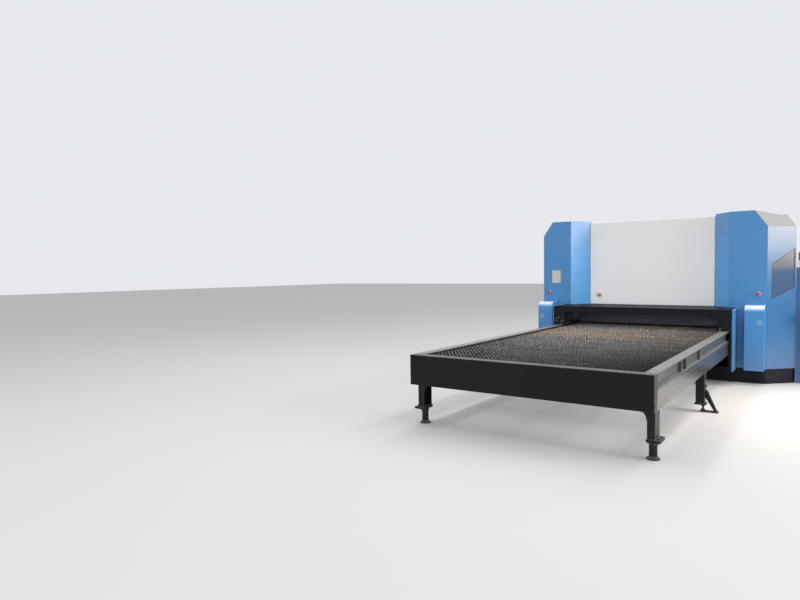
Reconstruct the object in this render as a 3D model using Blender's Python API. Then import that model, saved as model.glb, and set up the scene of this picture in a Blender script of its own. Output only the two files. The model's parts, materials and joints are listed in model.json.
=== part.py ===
"""Fibre laser cutting machine with an enclosed cabin and a shuttle table in front of it.

The frame is the real one: +Z up, +Y runs from the shuttle table into the cabin, the floor is z 0.
Lengths are metres. While the pieces are made, y 0 is the front plane of the two towers and x 0 the
centre line of the table. The last step moves everything so that the origin is the middle of the
footprint.
"""
import math

import bmesh
import bpy
from mathutils import Matrix, Vector

for item in list(bpy.data.objects):
    bpy.data.objects.remove(item, do_unlink=True)

# Fits
SEAT = 0.0003          # gap left between two pieces that touch
RUN = 0.012            # side clearance of the pallet between its beams
LIFT = 0.02            # clearance between the slats and what passes over them

# Shuttle table
TABLE_HALF = 1.26
TABLE_LEN = 4.69
TABLE_TOP = 0.78
RIM = 0.108            # width of the top flange all round
FLANGE = 0.015
PLATE = 0.012
SKIRT_H = 0.328
BEAM_H = 0.335
UPPER_H = 0.18         # the flanged upper half of a side beam
LIP_H = 0.047
WEB_IN = 0.038         # how far the web stands back from the edge
BOX_IN = 0.006         # how far the lower box stands back

# Legs
LEG_SETBACK = 0.119
LEG_INSET = 0.022
LEG_W = 0.068
LEG_D = 0.165
SOLE_TOP = 0.19        # top of the base plate under a front leg
SOLE_T = 0.026
SOLE_PAST = 0.045      # how far the base plate reaches past the leg's outer side
MID_LEG_AT = 0.497     # place of the middle leg along the table
MID_LEG_W = 0.095
MID_LEG_D = 0.10
STRUT_OUT = 0.126
STRUT_H = 0.235

# Pallet
PALLET_FRONT = 0.13    # from the front of the table to the pallet
PALLET_PAST = 0.24     # how far the pallet reaches past the towers' front plane
PALLET_BAR = 0.055
PALLET_H = 0.06
SLAT_TOP_DROP = 0.01
SLAT_H = 0.09
SLAT_T = 0.005
SLAT_PITCH = 0.133
TOOTH_PITCH = 0.112
TOOTH_H = 0.022
COMB_H = 0.07
COMB_T = 0.012
COMBS = 3
WHEEL_R = 0.05
WHEEL_W = 0.04
RAIL_H = 0.04
RAIL_IN = 0.122        # width of the rail that the wheels run on

# Hood and gate
HOOD_OUT = 0.042
HOOD_T = 0.03
HOOD_DEPTH = 0.49
HOOD_RISE = 0.307      # hood top over the table top
LINTEL_H = 0.092
GATE_T = 0.018
GATE_OVERLAP = 0.035

# Towers and cabin
LEDGE_GAP = 0.123
LEDGE_W = 0.245
LEDGE_D = 0.25
LEDGE_R = 0.09
LEDGE_RISE = 0.048
TOWER_RISE = 1.41
TOWER_FACE_W = 0.483
RECESS_X = 0.232
RECESS_Y = 0.303
PANEL_T = 0.03
PANEL_DROP = 0.026
CHAMFER_X = 0.163
CHAMFER_Z = 0.233
PLINTH_H = 0.215
CORNER_X = 0.329
CORNER_Y = 0.32
WALL_T = 0.04
EAVE_X = 0.104
EAVE_DROP = 0.087
RIDGE_GAP = 0.03       # how far the rear wall stays under the eave
CABIN_REST = 0.67      # cabin length beyond the pallet's length
ROOF_T = 0.025

# Bed and gantry
BED_RISE = 0.20
BED_STEP = 0.068
BED_W = 0.34
GUIDE_W = 0.04
GUIDE_H = 0.03
GANTRY_D = 0.26
GANTRY_H = 0.30
TRUCK_L = 0.44
TRUCK_H = 0.11
GANTRY_Y = 1.0

# Console
CONSOLE_W = 0.60
CONSOLE_D = 0.58
CONSOLE_H = 1.669

# Sizes that follow from the ones above
FRONT = -TABLE_LEN
BEAM_BOTTOM = TABLE_TOP - BEAM_H
SKIRT_BOTTOM = TABLE_TOP - SKIRT_H
BEAM_IN = TABLE_HALF - RIM
HOOD_HALF = TABLE_HALF + HOOD_OUT
HOOD_TOP = TABLE_TOP + HOOD_RISE
LEDGE_IN = HOOD_HALF + LEDGE_GAP
LEDGE_OUT = LEDGE_IN + LEDGE_W
TOWER_HALF = LEDGE_OUT + 0.005
TOWER_TOP = HOOD_TOP + TOWER_RISE
FACE_IN = TOWER_HALF - TOWER_FACE_W
PANEL_HALF = FACE_IN - RECESS_X
BACK = RECESS_Y + PANEL_T
CABIN_RIGHT = TOWER_HALF + CORNER_X
EAVE_Z = TOWER_TOP - CHAMFER_Z
ROOF_Z = TOWER_TOP - EAVE_DROP
PALLET_Y0 = FRONT + PALLET_FRONT
PALLET_LEN = PALLET_PAST - PALLET_Y0
CABIN_END = PALLET_LEN + CABIN_REST
SLAT_TOP = TABLE_TOP - SLAT_TOP_DROP
COMB_TOP = SLAT_TOP - 0.05
COMB_BOTTOM = COMB_TOP - COMB_H
PALLET_HALF = BEAM_IN - RUN
PALLET_TOP = COMB_BOTTOM - SEAT
PALLET_BOTTOM = PALLET_TOP - PALLET_H
WHEEL_Z = PALLET_BOTTOM + 0.006
RAIL_TOP = WHEEL_Z - WHEEL_R - SEAT
BED_TOP = TABLE_TOP + BED_RISE
BED_OUT = BEAM_IN + BED_STEP + BED_W
GUIDE_X = BED_OUT - BED_W / 2


def made(name, mesh_bm):
    """Turn a finished bmesh into an object and set its faces outward."""
    bmesh.ops.remove_doubles(mesh_bm, verts=mesh_bm.verts, dist=1e-6)
    bmesh.ops.recalc_face_normals(mesh_bm, faces=mesh_bm.faces)
    mesh = bpy.data.meshes.new(name)
    mesh_bm.to_mesh(mesh)
    mesh_bm.free()
    obj = bpy.data.objects.new(name, mesh)
    bpy.context.scene.collection.objects.link(obj)
    return obj


def prism(points, axis, low, high):
    """Extrude a closed outline along an axis: X takes (y, z), Y takes (x, z), Z takes (x, y)."""
    place = {
        "X": lambda u, v, w: (w, u, v),
        "Y": lambda u, v, w: (u, w, v),
        "Z": lambda u, v, w: (u, v, w),
    }[axis]
    bm = bmesh.new()
    rings = []
    for w in (low, high):
        rings.append([bm.verts.new(place(u, v, w)) for u, v in points])
    bm.faces.new(rings[0])
    bm.faces.new(rings[1])
    count = len(points)
    for i in range(count):
        j = (i + 1) % count
        bm.faces.new((rings[0][i], rings[0][j], rings[1][j], rings[1][i]))
    return made("piece", bm)


def block(x0, x1, y0, y1, z0, z1):
    """A plain bar between two corners."""
    return prism([(x0, y0), (x1, y0), (x1, y1), (x0, y1)], "Z", z0, z1)


def lathe(profile, centre, axis, steps):
    """Revolve a profile of (radius, height) pairs about an axis through the centre."""
    bm = bmesh.new()
    rows = []
    for radius, height in profile:
        if radius == 0:
            rows.append([bm.verts.new((0, 0, height))])
            continue
        row = []
        for k in range(steps):
            turn = 2 * math.pi * k / steps
            row.append(bm.verts.new((radius * math.cos(turn), radius * math.sin(turn), height)))
        rows.append(row)
    for low, high in zip(rows, rows[1:] + rows[:1]):
        for k in range(steps):
            n = (k + 1) % steps
            if len(low) == 1 and len(high) == 1:
                continue
            if len(low) == 1:
                bm.faces.new((low[0], high[k], high[n]))
            elif len(high) == 1:
                bm.faces.new((low[k], low[n], high[0]))
            else:
                bm.faces.new((low[k], low[n], high[n], high[k]))
    turn_to = Vector((0, 0, 1)).rotation_difference(Vector(axis)).to_matrix().to_4x4()
    bmesh.ops.transform(bm, matrix=Matrix.Translation(centre) @ turn_to, verts=bm.verts)
    return made("piece", bm)


def hull(points):
    """The convex solid around a few corners."""
    bm = bmesh.new()
    for point in points:
        bm.verts.new(point)
    bmesh.ops.convex_hull(bm, input=bm.verts)
    return made("piece", bm)


def rounded(points, radii, steps=4):
    """Give the corners of an outline the radii named by their index."""
    result = []
    count = len(points)
    for i, point in enumerate(points):
        radius = radii.get(i, 0)
        here = Vector(point)
        if radius == 0:
            result.append(tuple(here))
            continue
        before = (Vector(points[i - 1]) - here).normalized()
        after = (Vector(points[(i + 1) % count]) - here).normalized()
        half = before.angle(after) / 2
        reach = radius / math.tan(half)
        middle = here + (before + after).normalized() * (radius / math.sin(half))
        start = here + before * reach - middle
        sweep = (here + after * reach - middle).angle_signed(start)
        for k in range(steps + 1):
            turn = Matrix.Rotation(sweep * k / steps, 2)
            result.append(tuple(middle + turn @ start))
    return result


def folded(path, thick):
    """The outline of a plate of one thickness folded along a path, laid to the path's left."""
    inner = []
    for i, point in enumerate(path):
        here = Vector(point)
        sides = []
        if i > 0:
            sides.append((here - Vector(path[i - 1])).normalized())
        if i < len(path) - 1:
            sides.append((Vector(path[i + 1]) - here).normalized())
        normals = [Vector((-side.y, side.x)) for side in sides]
        if len(normals) == 1:
            inner.append(here + normals[0] * thick)
        else:
            mitre = (normals[0] + normals[1]).normalized()
            inner.append(here + mitre * (thick / mitre.dot(normals[0])))
    return [tuple(p) for p in path] + [tuple(p) for p in reversed(inner)]


def together(pieces):
    """Put separate pieces into one mesh without joining their surfaces."""
    bm = bmesh.new()
    for piece in pieces:
        bm.from_mesh(piece.data)
        bpy.data.objects.remove(piece, do_unlink=True)
    return made("piece", bm)


def cut_with(base, tool, how):
    """Join, cut or intersect two closed meshes."""
    step = base.modifiers.new("step", "BOOLEAN")
    step.operation = how
    step.solver = "EXACT"
    step.object = tool
    graph = bpy.context.evaluated_depsgraph_get()
    result = bpy.data.meshes.new_from_object(base.evaluated_get(graph))
    base.modifiers.clear()
    base.data = result
    bpy.data.objects.remove(tool, do_unlink=True)
    return base


def union(pieces):
    base = pieces[0]
    for piece in pieces[1:]:
        base = cut_with(base, piece, "UNION")
    return base


def minus(base, tool):
    return cut_with(base, tool, "DIFFERENCE")


def stretch(side, near, far):
    """The low and the high end of a stretch on one side of the centre line."""
    return sorted((side * near, side * far))


def mirrored(obj):
    """A copy on the other side of the centre line."""
    bm = bmesh.new()
    bm.from_mesh(obj.data)
    bmesh.ops.transform(bm, matrix=Matrix.Diagonal((-1, 1, 1, 1)), verts=bm.verts)
    return made("piece", bm)


PAINT = {
    "charcoal": ((0.022, 0.025, 0.030), 0.0, 0.45),
    "black": ((0.012, 0.013, 0.015), 0.0, 0.5),
    "blue": ((0.065, 0.225, 0.485), 0.0, 0.35),
    "pale_blue": ((0.42, 0.55, 0.74), 0.0, 0.3),
    "white": ((0.70, 0.69, 0.68), 0.0, 0.4),
    "grey": ((0.50, 0.50, 0.51), 0.0, 0.4),
    "dark_blue": ((0.02, 0.06, 0.16), 0.0, 0.4),
    "steel": ((0.42, 0.42, 0.43), 1.0, 0.35),
    "burnt": ((0.16, 0.13, 0.11), 0.6, 0.65),
    "aluminium": ((0.62, 0.63, 0.65), 1.0, 0.35),
    "brass": ((0.55, 0.38, 0.13), 1.0, 0.35),
    "red": ((0.50, 0.02, 0.02), 0.0, 0.3),
    "cream": ((0.60, 0.55, 0.50), 0.0, 0.4),
    "glass": ((0.02, 0.03, 0.06), 0.0, 0.08),
}


def finish(obj, name, paint, origin=(0, 0, 0)):
    """Name a finished solid, set its origin and give it a material of its own."""
    obj.name = name
    obj.data.name = name
    obj.data.transform(Matrix.Translation(-Vector(origin)))
    obj.location = origin
    colour, metallic, rough = PAINT[paint]
    material = bpy.data.materials.new("mat_" + name)
    material.use_nodes = True
    shader = material.node_tree.nodes["Principled BSDF"]
    shader.inputs["Base Color"].default_value = (*colour, 1)
    shader.inputs["Metallic"].default_value = metallic
    shader.inputs["Roughness"].default_value = rough
    obj.data.materials.clear()
    obj.data.materials.append(material)
    return obj


def pair(obj, stem, paint):
    """Finish a right-hand piece and its left-hand copy."""
    other = mirrored(obj)
    finish(obj, stem + "_right", paint)
    finish(other, stem + "_left", paint)


# Front beam of the table: a folded channel with end plates and ribs inside
front_path = [
    (FRONT + 0.07, SKIRT_BOTTOM),
    (FRONT, SKIRT_BOTTOM),
    (FRONT, TABLE_TOP),
    (FRONT + RIM, TABLE_TOP),
]
front_ring = folded(list(reversed(front_path)), PLATE)
front_beam = prism(rounded(front_ring, {1: 0.012, 2: 0.010}, 3), "X", -TABLE_HALF, TABLE_HALF)
stiffeners = []
RIB_COUNT = 5
for k in range(RIB_COUNT + 2):
    x = -TABLE_HALF + (2 * TABLE_HALF - PLATE) * k / (RIB_COUNT + 1)
    low = SKIRT_BOTTOM + 0.004
    high = TABLE_TOP - 0.004
    stiffeners.append(block(x, x + PLATE, FRONT + 0.006, FRONT + RIM - 0.008, low, high))
front_beam = cut_with(front_beam, together(stiffeners), "UNION")
finish(front_beam, "beam_front", "charcoal")

# Side beams: one section, flanged above and boxed below, with ribs between the flanges
beam_y0 = FRONT + RIM + SEAT
beam_y1 = BACK + 0.06
upper_z = TABLE_TOP - UPPER_H
lip_top = upper_z + LIP_H
web_x = TABLE_HALF - WEB_IN
web_back = web_x - PLATE
side_section = [
    (BEAM_IN, TABLE_TOP),
    (TABLE_HALF, TABLE_TOP),
    (TABLE_HALF, TABLE_TOP - FLANGE),
    (web_x, TABLE_TOP - FLANGE),
    (web_x, lip_top),
    (TABLE_HALF, lip_top - 0.006),
    (TABLE_HALF, upper_z),
    (TABLE_HALF - BOX_IN, upper_z - 0.004),
    (TABLE_HALF - BOX_IN, BEAM_BOTTOM),
    (BEAM_IN, BEAM_BOTTOM),
    (BEAM_IN, upper_z + FLANGE),
    (web_back, upper_z + FLANGE),
    (web_back, TABLE_TOP - FLANGE),
    (BEAM_IN, TABLE_TOP - FLANGE),
]
side_beam = prism(side_section, "Y", beam_y0, beam_y1)
RIB_PAIR_AT = 1.24     # from the front of the table to the middle of the pair of ribs
RIB_PAIR = 0.12
RIB_SINGLE_AT = 2.11
RIB_T = 0.010
rib_z = (upper_z + 0.02, TABLE_TOP - 0.006)
ribs = []
for at in (RIB_PAIR_AT - RIB_PAIR, RIB_PAIR_AT + RIB_PAIR, RIB_SINGLE_AT):
    rib_y = (FRONT + at, FRONT + at + RIB_T)
    ribs.append(block(web_back + 0.004, TABLE_HALF - 0.010, *rib_y, *rib_z))
side_beam = cut_with(side_beam, together(ribs), "UNION")
ENTRY_LIP_H = 0.045    # guide lip that keeps the pallet centred under the hood
ENTRY_LIP_T = 0.010
lip_y = (-HOOD_DEPTH - 0.05, BACK - 0.015)
lip_z = (TABLE_TOP - 0.005, TABLE_TOP + ENTRY_LIP_H)
side_beam = union([side_beam, block(BEAM_IN, BEAM_IN + ENTRY_LIP_T, *lip_y, *lip_z)])
pair(side_beam, "side_beam", "charcoal")

# Front legs: channels that open inward, with a gusset under the beam
leg_x1 = TABLE_HALF - LEG_INSET
leg_x0 = leg_x1 - LEG_W
leg_y0 = FRONT + LEG_SETBACK
leg_y1 = leg_y0 + LEG_D
channel = folded([(leg_x0, leg_y0), (leg_x1, leg_y0), (leg_x1, leg_y1), (leg_x0, leg_y1)], 0.009)
post = prism(channel, "Z", SOLE_TOP + SEAT, BEAM_BOTTOM - SEAT)
GUSSET = 0.09
GUSSET_EDGE = 0.006
gusset_top = BEAM_BOTTOM - SEAT
gusset_points = [
    (leg_x0 + 0.02, gusset_top),
    (leg_x0 - GUSSET, gusset_top),
    (leg_x0 - GUSSET, gusset_top - GUSSET_EDGE),
    (leg_x0 - GUSSET_EDGE, gusset_top - GUSSET_EDGE),
    (leg_x0 - GUSSET_EDGE, gusset_top - GUSSET),
    (leg_x0 + 0.02, gusset_top - GUSSET),
]
gusset_outline = rounded(gusset_points, {3: GUSSET - 2 * GUSSET_EDGE}, 6)
gusset = prism(gusset_outline, "Y", leg_y0 + 0.001, leg_y0 + 0.008)
cap_plan = (leg_x0 + 0.001, leg_x1 - 0.001, leg_y0 + 0.002, leg_y1 - 0.002)
cap = block(*cap_plan, gusset_top - 0.008, gusset_top)
post = union([post, gusset, cap])
pair(post, "leg_front", "charcoal")

# Base plate under each front leg, on a stout round foot with a pad
SOLE_LIP = 0.008
sole_x = (leg_x0 - SOLE_LIP, leg_x1 + SOLE_PAST)
sole_y = (leg_y0 - SOLE_LIP, leg_y1 + SOLE_LIP)
sole_low = SOLE_TOP - SOLE_T
sole = block(*sole_x, *sole_y, sole_low, SOLE_TOP)
foot_top = sole_low + 0.004
FOOT = [
    (0, 0),
    (0.058, 0),
    (0.058, 0.012),
    (0.048, 0.018),
    (0.036, 0.030),
    (0.036, foot_top),
    (0, foot_top),
]
foot_at = ((leg_x0 + leg_x1) / 2, (leg_y0 + leg_y1) / 2, 0)
sole = union([sole, lathe(FOOT, foot_at, (0, 0, 1), 24)])
pair(sole, "foot_front", "charcoal")

# Middle legs: a post, a levelling foot and an outrigger strut to the floor
mid_x1 = TABLE_HALF
mid_x0 = mid_x1 - MID_LEG_W
mid_y0 = FRONT * MID_LEG_AT
mid_y1 = mid_y0 + MID_LEG_D
SHOE_TOP = 0.012
PAD_TOP = 0.10
mid_post = block(mid_x0, mid_x1, mid_y0, mid_y1, PAD_TOP - 0.004, BEAM_BOTTOM - SEAT)
pad = block(mid_x0 - 0.012, mid_x1 + 0.016, mid_y0 - 0.012, mid_y1 + 0.012, PAD_TOP - 0.016, PAD_TOP)
screw_x = mid_x1 - 0.022
screw_y = (mid_y0 + mid_y1) / 2
screw_top = PAD_TOP - 0.006
SCREW = [
    (0, 0.004),
    (0.022, 0.004),
    (0.022, 0.030),
    (0.011, 0.034),
    (0.011, screw_top),
    (0, screw_top),
]
screw = lathe(SCREW, (screw_x, screw_y, 0), (0, 0, 1), 14)
shoe_y = (mid_y0 + 0.012, mid_y1 - 0.012)
shoe = block(mid_x0 + 0.045, mid_x1 + STRUT_OUT + 0.016, *shoe_y, 0, SHOE_TOP)
STRUT_T = 0.022
strut_points = [
    (mid_x1 - 0.006, STRUT_H + 0.02),
    (mid_x1 - 0.006, STRUT_H - 0.05),
    (mid_x1 + STRUT_OUT - STRUT_T, SHOE_TOP - 0.004),
    (mid_x1 + STRUT_OUT + 0.004, SHOE_TOP - 0.004),
    (mid_x1 + 0.02, STRUT_H + 0.02),
]
strut = prism(strut_points, "Y", mid_y0 + 0.028, mid_y1 - 0.028)
LUG = [(0, -0.012), (0.016, -0.012), (0.016, 0.014), (0.010, 0.018), (0, 0.018)]
lug = lathe(LUG, (mid_x1 + 0.002, mid_y0 + 0.035, 0.308), (1, 0, 0), 12)
mid_leg = union([mid_post, pad, screw, shoe, strut, lug])
pair(mid_leg, "leg_mid", "charcoal")

# Rails that the pallet runs on, from the table through into the cabin
rail_y1 = CABIN_END - 0.16
rail_section = [
    (BEAM_IN - RAIL_IN, RAIL_TOP - RAIL_H),
    (BEAM_IN - SEAT, RAIL_TOP - RAIL_H),
    (BEAM_IN - SEAT, RAIL_TOP),
    (BEAM_IN - RAIL_IN, RAIL_TOP),
]
rail = prism(rounded(rail_section, {0: 0.004, 3: 0.004}, 1), "Y", beam_y0, rail_y1)
pair(rail, "guide_rail", "steel")

# Cross members that tie the two side beams under the rails
CROSS_D = 0.08
for number, y in (("front", FRONT * 0.72), ("rear", FRONT * 0.24)):
    cross_top = RAIL_TOP - RAIL_H - SEAT
    section = [
        (y - CROSS_D / 2, BEAM_BOTTOM + 0.004),
        (y + CROSS_D / 2, BEAM_BOTTOM + 0.004),
        (y + CROSS_D / 2, cross_top),
        (y - CROSS_D / 2, cross_top),
    ]
    outline = rounded(section, {0: 0.008, 1: 0.008}, 2)
    cross = prism(outline, "X", -BEAM_IN + SEAT, BEAM_IN - SEAT)
    finish(cross, "cross_member_" + number, "charcoal")

# Pallet: two long sides, two ends, two cross bars
pallet_y1 = PALLET_Y0 + PALLET_LEN
side_in = PALLET_HALF - PALLET_BAR
pallet_side_section = folded(
    [
        (side_in + SEAT, PALLET_BOTTOM),
        (PALLET_HALF, PALLET_BOTTOM),
        (PALLET_HALF, PALLET_TOP),
        (side_in + SEAT, PALLET_TOP),
    ],
    0.010,
)
pallet_side = prism(pallet_side_section, "Y", PALLET_Y0, pallet_y1)
pair(pallet_side, "pallet_side", "charcoal")
BAR_D = 0.07
bars = {
    "pallet_end_front": PALLET_Y0,
    "pallet_cross_front": PALLET_Y0 + PALLET_LEN * 0.34,
    "pallet_cross_rear": PALLET_Y0 + PALLET_LEN * 0.64,
    "pallet_end_rear": pallet_y1 - BAR_D,
}
for name, y in bars.items():
    section = [
        (y, PALLET_BOTTOM),
        (y + BAR_D, PALLET_BOTTOM),
        (y + BAR_D, PALLET_TOP),
        (y, PALLET_TOP),
    ]
    bar = prism(rounded(section, {0: 0.008, 1: 0.008}, 2), "X", -side_in, side_in)
    finish(bar, name, "charcoal")

# Slat grate: toothed slats across the pallet, seated in comb bars that run along it
slat_half = PALLET_HALF - 0.02
teeth = int(2 * slat_half / TOOTH_PITCH)
tooth = 2 * slat_half / teeth
slat_outline = [(-slat_half, SLAT_TOP - SLAT_H), (slat_half, SLAT_TOP - SLAT_H)]
for k in range(teeth, 0, -1):
    x = -slat_half + k * tooth
    slat_outline.append((x, SLAT_TOP - TOOTH_H))
    slat_outline.append((x - tooth / 2, SLAT_TOP))
slat_outline.append((-slat_half, SLAT_TOP - TOOTH_H))
slat_count = int((PALLET_LEN - 0.05) / SLAT_PITCH) + 1
slat_first = PALLET_Y0 + (PALLET_LEN - (slat_count - 1) * SLAT_PITCH) / 2
slats = []
for k in range(slat_count):
    y = slat_first + k * SLAT_PITCH
    slats.append(prism(slat_outline, "Y", y - SLAT_T / 2, y + SLAT_T / 2))
combs = []
comb_far = slat_half - 0.03
for k in range(COMBS):
    x = -comb_far + 2 * comb_far * k / (COMBS - 1)
    comb_x = (x - COMB_T / 2, x + COMB_T / 2)
    combs.append(block(*comb_x, PALLET_Y0, pallet_y1, COMB_BOTTOM, COMB_TOP))
grate = cut_with(together(slats), together(combs), "UNION")
finish(grate, "slat_grate", "burnt")

# Pallet wheels, each with the stub of its axle
WHEEL = [
    (0, 0),
    (WHEEL_R - 0.006, 0),
    (WHEEL_R, 0.004),
    (WHEEL_R, WHEEL_W - 0.004),
    (WHEEL_R - 0.006, WHEEL_W),
    (0.022, WHEEL_W),
    (0.016, WHEEL_W + 0.010),
    (0, WHEEL_W + 0.010),
]
wheel_x = side_in - WHEEL_W - 0.010
for place, y in (("front", PALLET_Y0 + 0.42), ("rear", pallet_y1 - 0.42)):
    for side, word in ((-1, "left"), (1, "right")):
        centre = (side * wheel_x, y, WHEEL_Z)
        wheel = lathe(WHEEL, centre, (side, 0, 0), 24)
        finish(wheel, "wheel_" + place + "_" + word, "steel", centre)

# Plinth bars under the cabin, the front one with risers for the side beams
PLINTH_IN = 0.02
cabin_left = -TOWER_HALF
left_x = cabin_left + PLINTH_IN
right_x = CABIN_RIGHT - PLINTH_IN
front_bar = block(left_x, TOWER_HALF - PLINTH_IN, 0.004, BACK, 0, PLINTH_H - SEAT)
risers = []
for side in (-1, 1):
    riser_x = stretch(side, TABLE_HALF - 0.085, TABLE_HALF - 0.02)
    risers.append(block(*riser_x, 0.05, 0.25, PLINTH_H - 0.05, BEAM_BOTTOM - SEAT))
corner_foot = [
    (TOWER_HALF - PLINTH_IN - 0.01, 0.02),
    (TOWER_HALF, 0.02),
    (CABIN_RIGHT - PLINTH_IN - 0.01, CORNER_Y - 0.002),
    (CABIN_RIGHT - PLINTH_IN - 0.01, BACK),
    (TOWER_HALF - PLINTH_IN - 0.01, BACK),
]
corner_bar = prism(corner_foot, "Z", 0, PLINTH_H - SEAT)
plinth_front = union([front_bar, together(risers), corner_bar])
finish(plinth_front, "plinth_front", "black")
bar_y0 = BACK + SEAT
bar_y1 = CABIN_END - PLINTH_IN
PLINTH_W = 0.52
plinth_z = (0, PLINTH_H - SEAT)
left_in = left_x + PLINTH_W
right_in = right_x - PLINTH_W - CORNER_X
finish(block(left_x, left_in, bar_y0, bar_y1, *plinth_z), "plinth_left", "black")
finish(block(right_in, right_x, bar_y0, bar_y1, *plinth_z), "plinth_right", "black")
rear_bar = block(left_in + SEAT, right_in - SEAT, bar_y1 - 0.25, bar_y1, *plinth_z)
finish(rear_bar, "plinth_rear", "black")

# Bed beams inside the cabin, each with the linear guide of the gantry on its top
bed_y0 = beam_y1 + SEAT
bed_y1 = CABIN_END - 0.12
bed_step_x = BEAM_IN + BED_STEP
bed_section = [
    (BEAM_IN, PLINTH_H),
    (BED_OUT, PLINTH_H),
    (BED_OUT, BED_TOP),
    (GUIDE_X + GUIDE_W / 2, BED_TOP),
    (GUIDE_X + GUIDE_W * 0.32, BED_TOP + GUIDE_H * 0.45),
    (GUIDE_X + GUIDE_W / 2, BED_TOP + GUIDE_H),
    (GUIDE_X - GUIDE_W / 2, BED_TOP + GUIDE_H),
    (GUIDE_X - GUIDE_W * 0.32, BED_TOP + GUIDE_H * 0.45),
    (GUIDE_X - GUIDE_W / 2, BED_TOP),
    (bed_step_x, BED_TOP),
    (bed_step_x, PALLET_BOTTOM + 0.02),
    (BEAM_IN, PALLET_BOTTOM + 0.02),
]
bed = prism(bed_section, "Y", bed_y0, bed_y1)
pair(bed, "bed", "grey")

# Hood over the entry: an inverted U with a lintel, jambs and the guides of the gate behind it
hood_y0 = -HOOD_DEPTH
hood_inner = HOOD_HALF - HOOD_T
hood_plate = 0.017
hood_ring = [
    (-HOOD_HALF, PLINTH_H),
    (-hood_inner, PLINTH_H),
    (-hood_inner, HOOD_TOP - hood_plate),
    (hood_inner, HOOD_TOP - hood_plate),
    (hood_inner, PLINTH_H),
    (HOOD_HALF, PLINTH_H),
    (HOOD_HALF, HOOD_TOP),
    (-HOOD_HALF, HOOD_TOP),
]
hood = prism(rounded(hood_ring, {6: 0.006, 7: 0.006}, 2), "Y", hood_y0, BACK)
JAMB_IN = 0.14
jamb_low = TABLE_TOP + 0.006
jamb_ring = [
    (-HOOD_HALF + 0.004, jamb_low),
    (-TABLE_HALF + JAMB_IN, jamb_low),
    (-TABLE_HALF + JAMB_IN, HOOD_TOP - LINTEL_H),
    (TABLE_HALF - JAMB_IN, HOOD_TOP - LINTEL_H),
    (TABLE_HALF - JAMB_IN, jamb_low),
    (HOOD_HALF - 0.004, jamb_low),
    (HOOD_HALF - 0.004, HOOD_TOP - 0.004),
    (-HOOD_HALF + 0.004, HOOD_TOP - 0.004),
]
jamb = prism(jamb_ring, "Y", hood_y0 + 0.006, hood_y0 + 0.024)
for side in (-1, 1):
    notch_x = stretch(side, BEAM_IN - 0.002, BEAM_IN + ENTRY_LIP_T + 0.002)
    notch_z = (0, TABLE_TOP + ENTRY_LIP_H + 0.002)
    jamb = minus(jamb, block(*notch_x, hood_y0, hood_y0 + 0.03, *notch_z))
gate_half = TABLE_HALF - 0.075
gate_low = TABLE_TOP + LIFT
gate_high = HOOD_TOP + GATE_OVERLAP
gate_y0 = BACK + 0.004
gate_y1 = gate_y0 + GATE_T
guide_posts = []
for side in (-1, 1):
    post_x = stretch(side, gate_half - 0.02, HOOD_HALF - 0.002)
    post_y = (BACK - 0.006, gate_y1 + 0.012)
    post = block(*post_x, *post_y, jamb_low, HOOD_TOP - 0.002)
    slot_x = stretch(side, gate_half - 0.03, gate_half + 0.006)
    slot = block(*slot_x, gate_y0 - SEAT, gate_y1 + 0.003, 0, HOOD_TOP + 0.1)
    guide_posts.append(minus(post, slot))
hood = union([hood, jamb, together(guide_posts)])
finish(hood, "hood", "black")

# Gate: a plate with a stiffening groove and a tapered foot
gate_section = [
    (gate_y0, gate_low + 0.012),
    (gate_y0 + GATE_T * 0.3, gate_low),
    (gate_y0 + GATE_T * 0.7, gate_low),
    (gate_y1, gate_low + 0.012),
    (gate_y1, gate_high),
    (gate_y0, gate_high),
]
gate = prism(gate_section, "X", -gate_half, gate_half)
fold_z = (gate_low + HOOD_TOP) / 2
fold_y = gate_y0 - 0.001
groove = [
    (fold_y, fold_z - 0.008),
    (fold_y + 0.007, fold_z),
    (fold_y, fold_z + 0.008),
]
gate = minus(gate, prism(groove, "X", -gate_half + 0.06, gate_half - 0.06))
finish(gate, "gate", "black")

# Towers: a folded plan taken up to the top, the outer top corner cut off
tower_plan = [
    (FACE_IN, 0),
    (TOWER_HALF, 0),
    (TOWER_HALF, BACK),
    (PANEL_HALF + 0.002, BACK),
    (PANEL_HALF + 0.002, RECESS_Y),
]
tower_low = HOOD_TOP + SEAT
tower_front = [
    (PANEL_HALF - 0.1, tower_low - 0.1),
    (TOWER_HALF + 0.1, tower_low - 0.1),
    (TOWER_HALF + 0.1, EAVE_Z - CHAMFER_Z * 0.1 / CHAMFER_X),
    (TOWER_HALF - CHAMFER_X, TOWER_TOP),
    (TOWER_HALF - CHAMFER_X - 0.1, TOWER_TOP + CHAMFER_Z * 0.1 / CHAMFER_X),
    (PANEL_HALF - 0.1, TOWER_TOP + CHAMFER_Z * 0.1 / CHAMFER_X),
]
tower = prism(tower_plan, "Z", tower_low, TOWER_TOP)
tower = cut_with(tower, prism(tower_front, "Y", -0.1, BACK + 0.1), "INTERSECT")
pair(tower, "tower", "blue")

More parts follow.
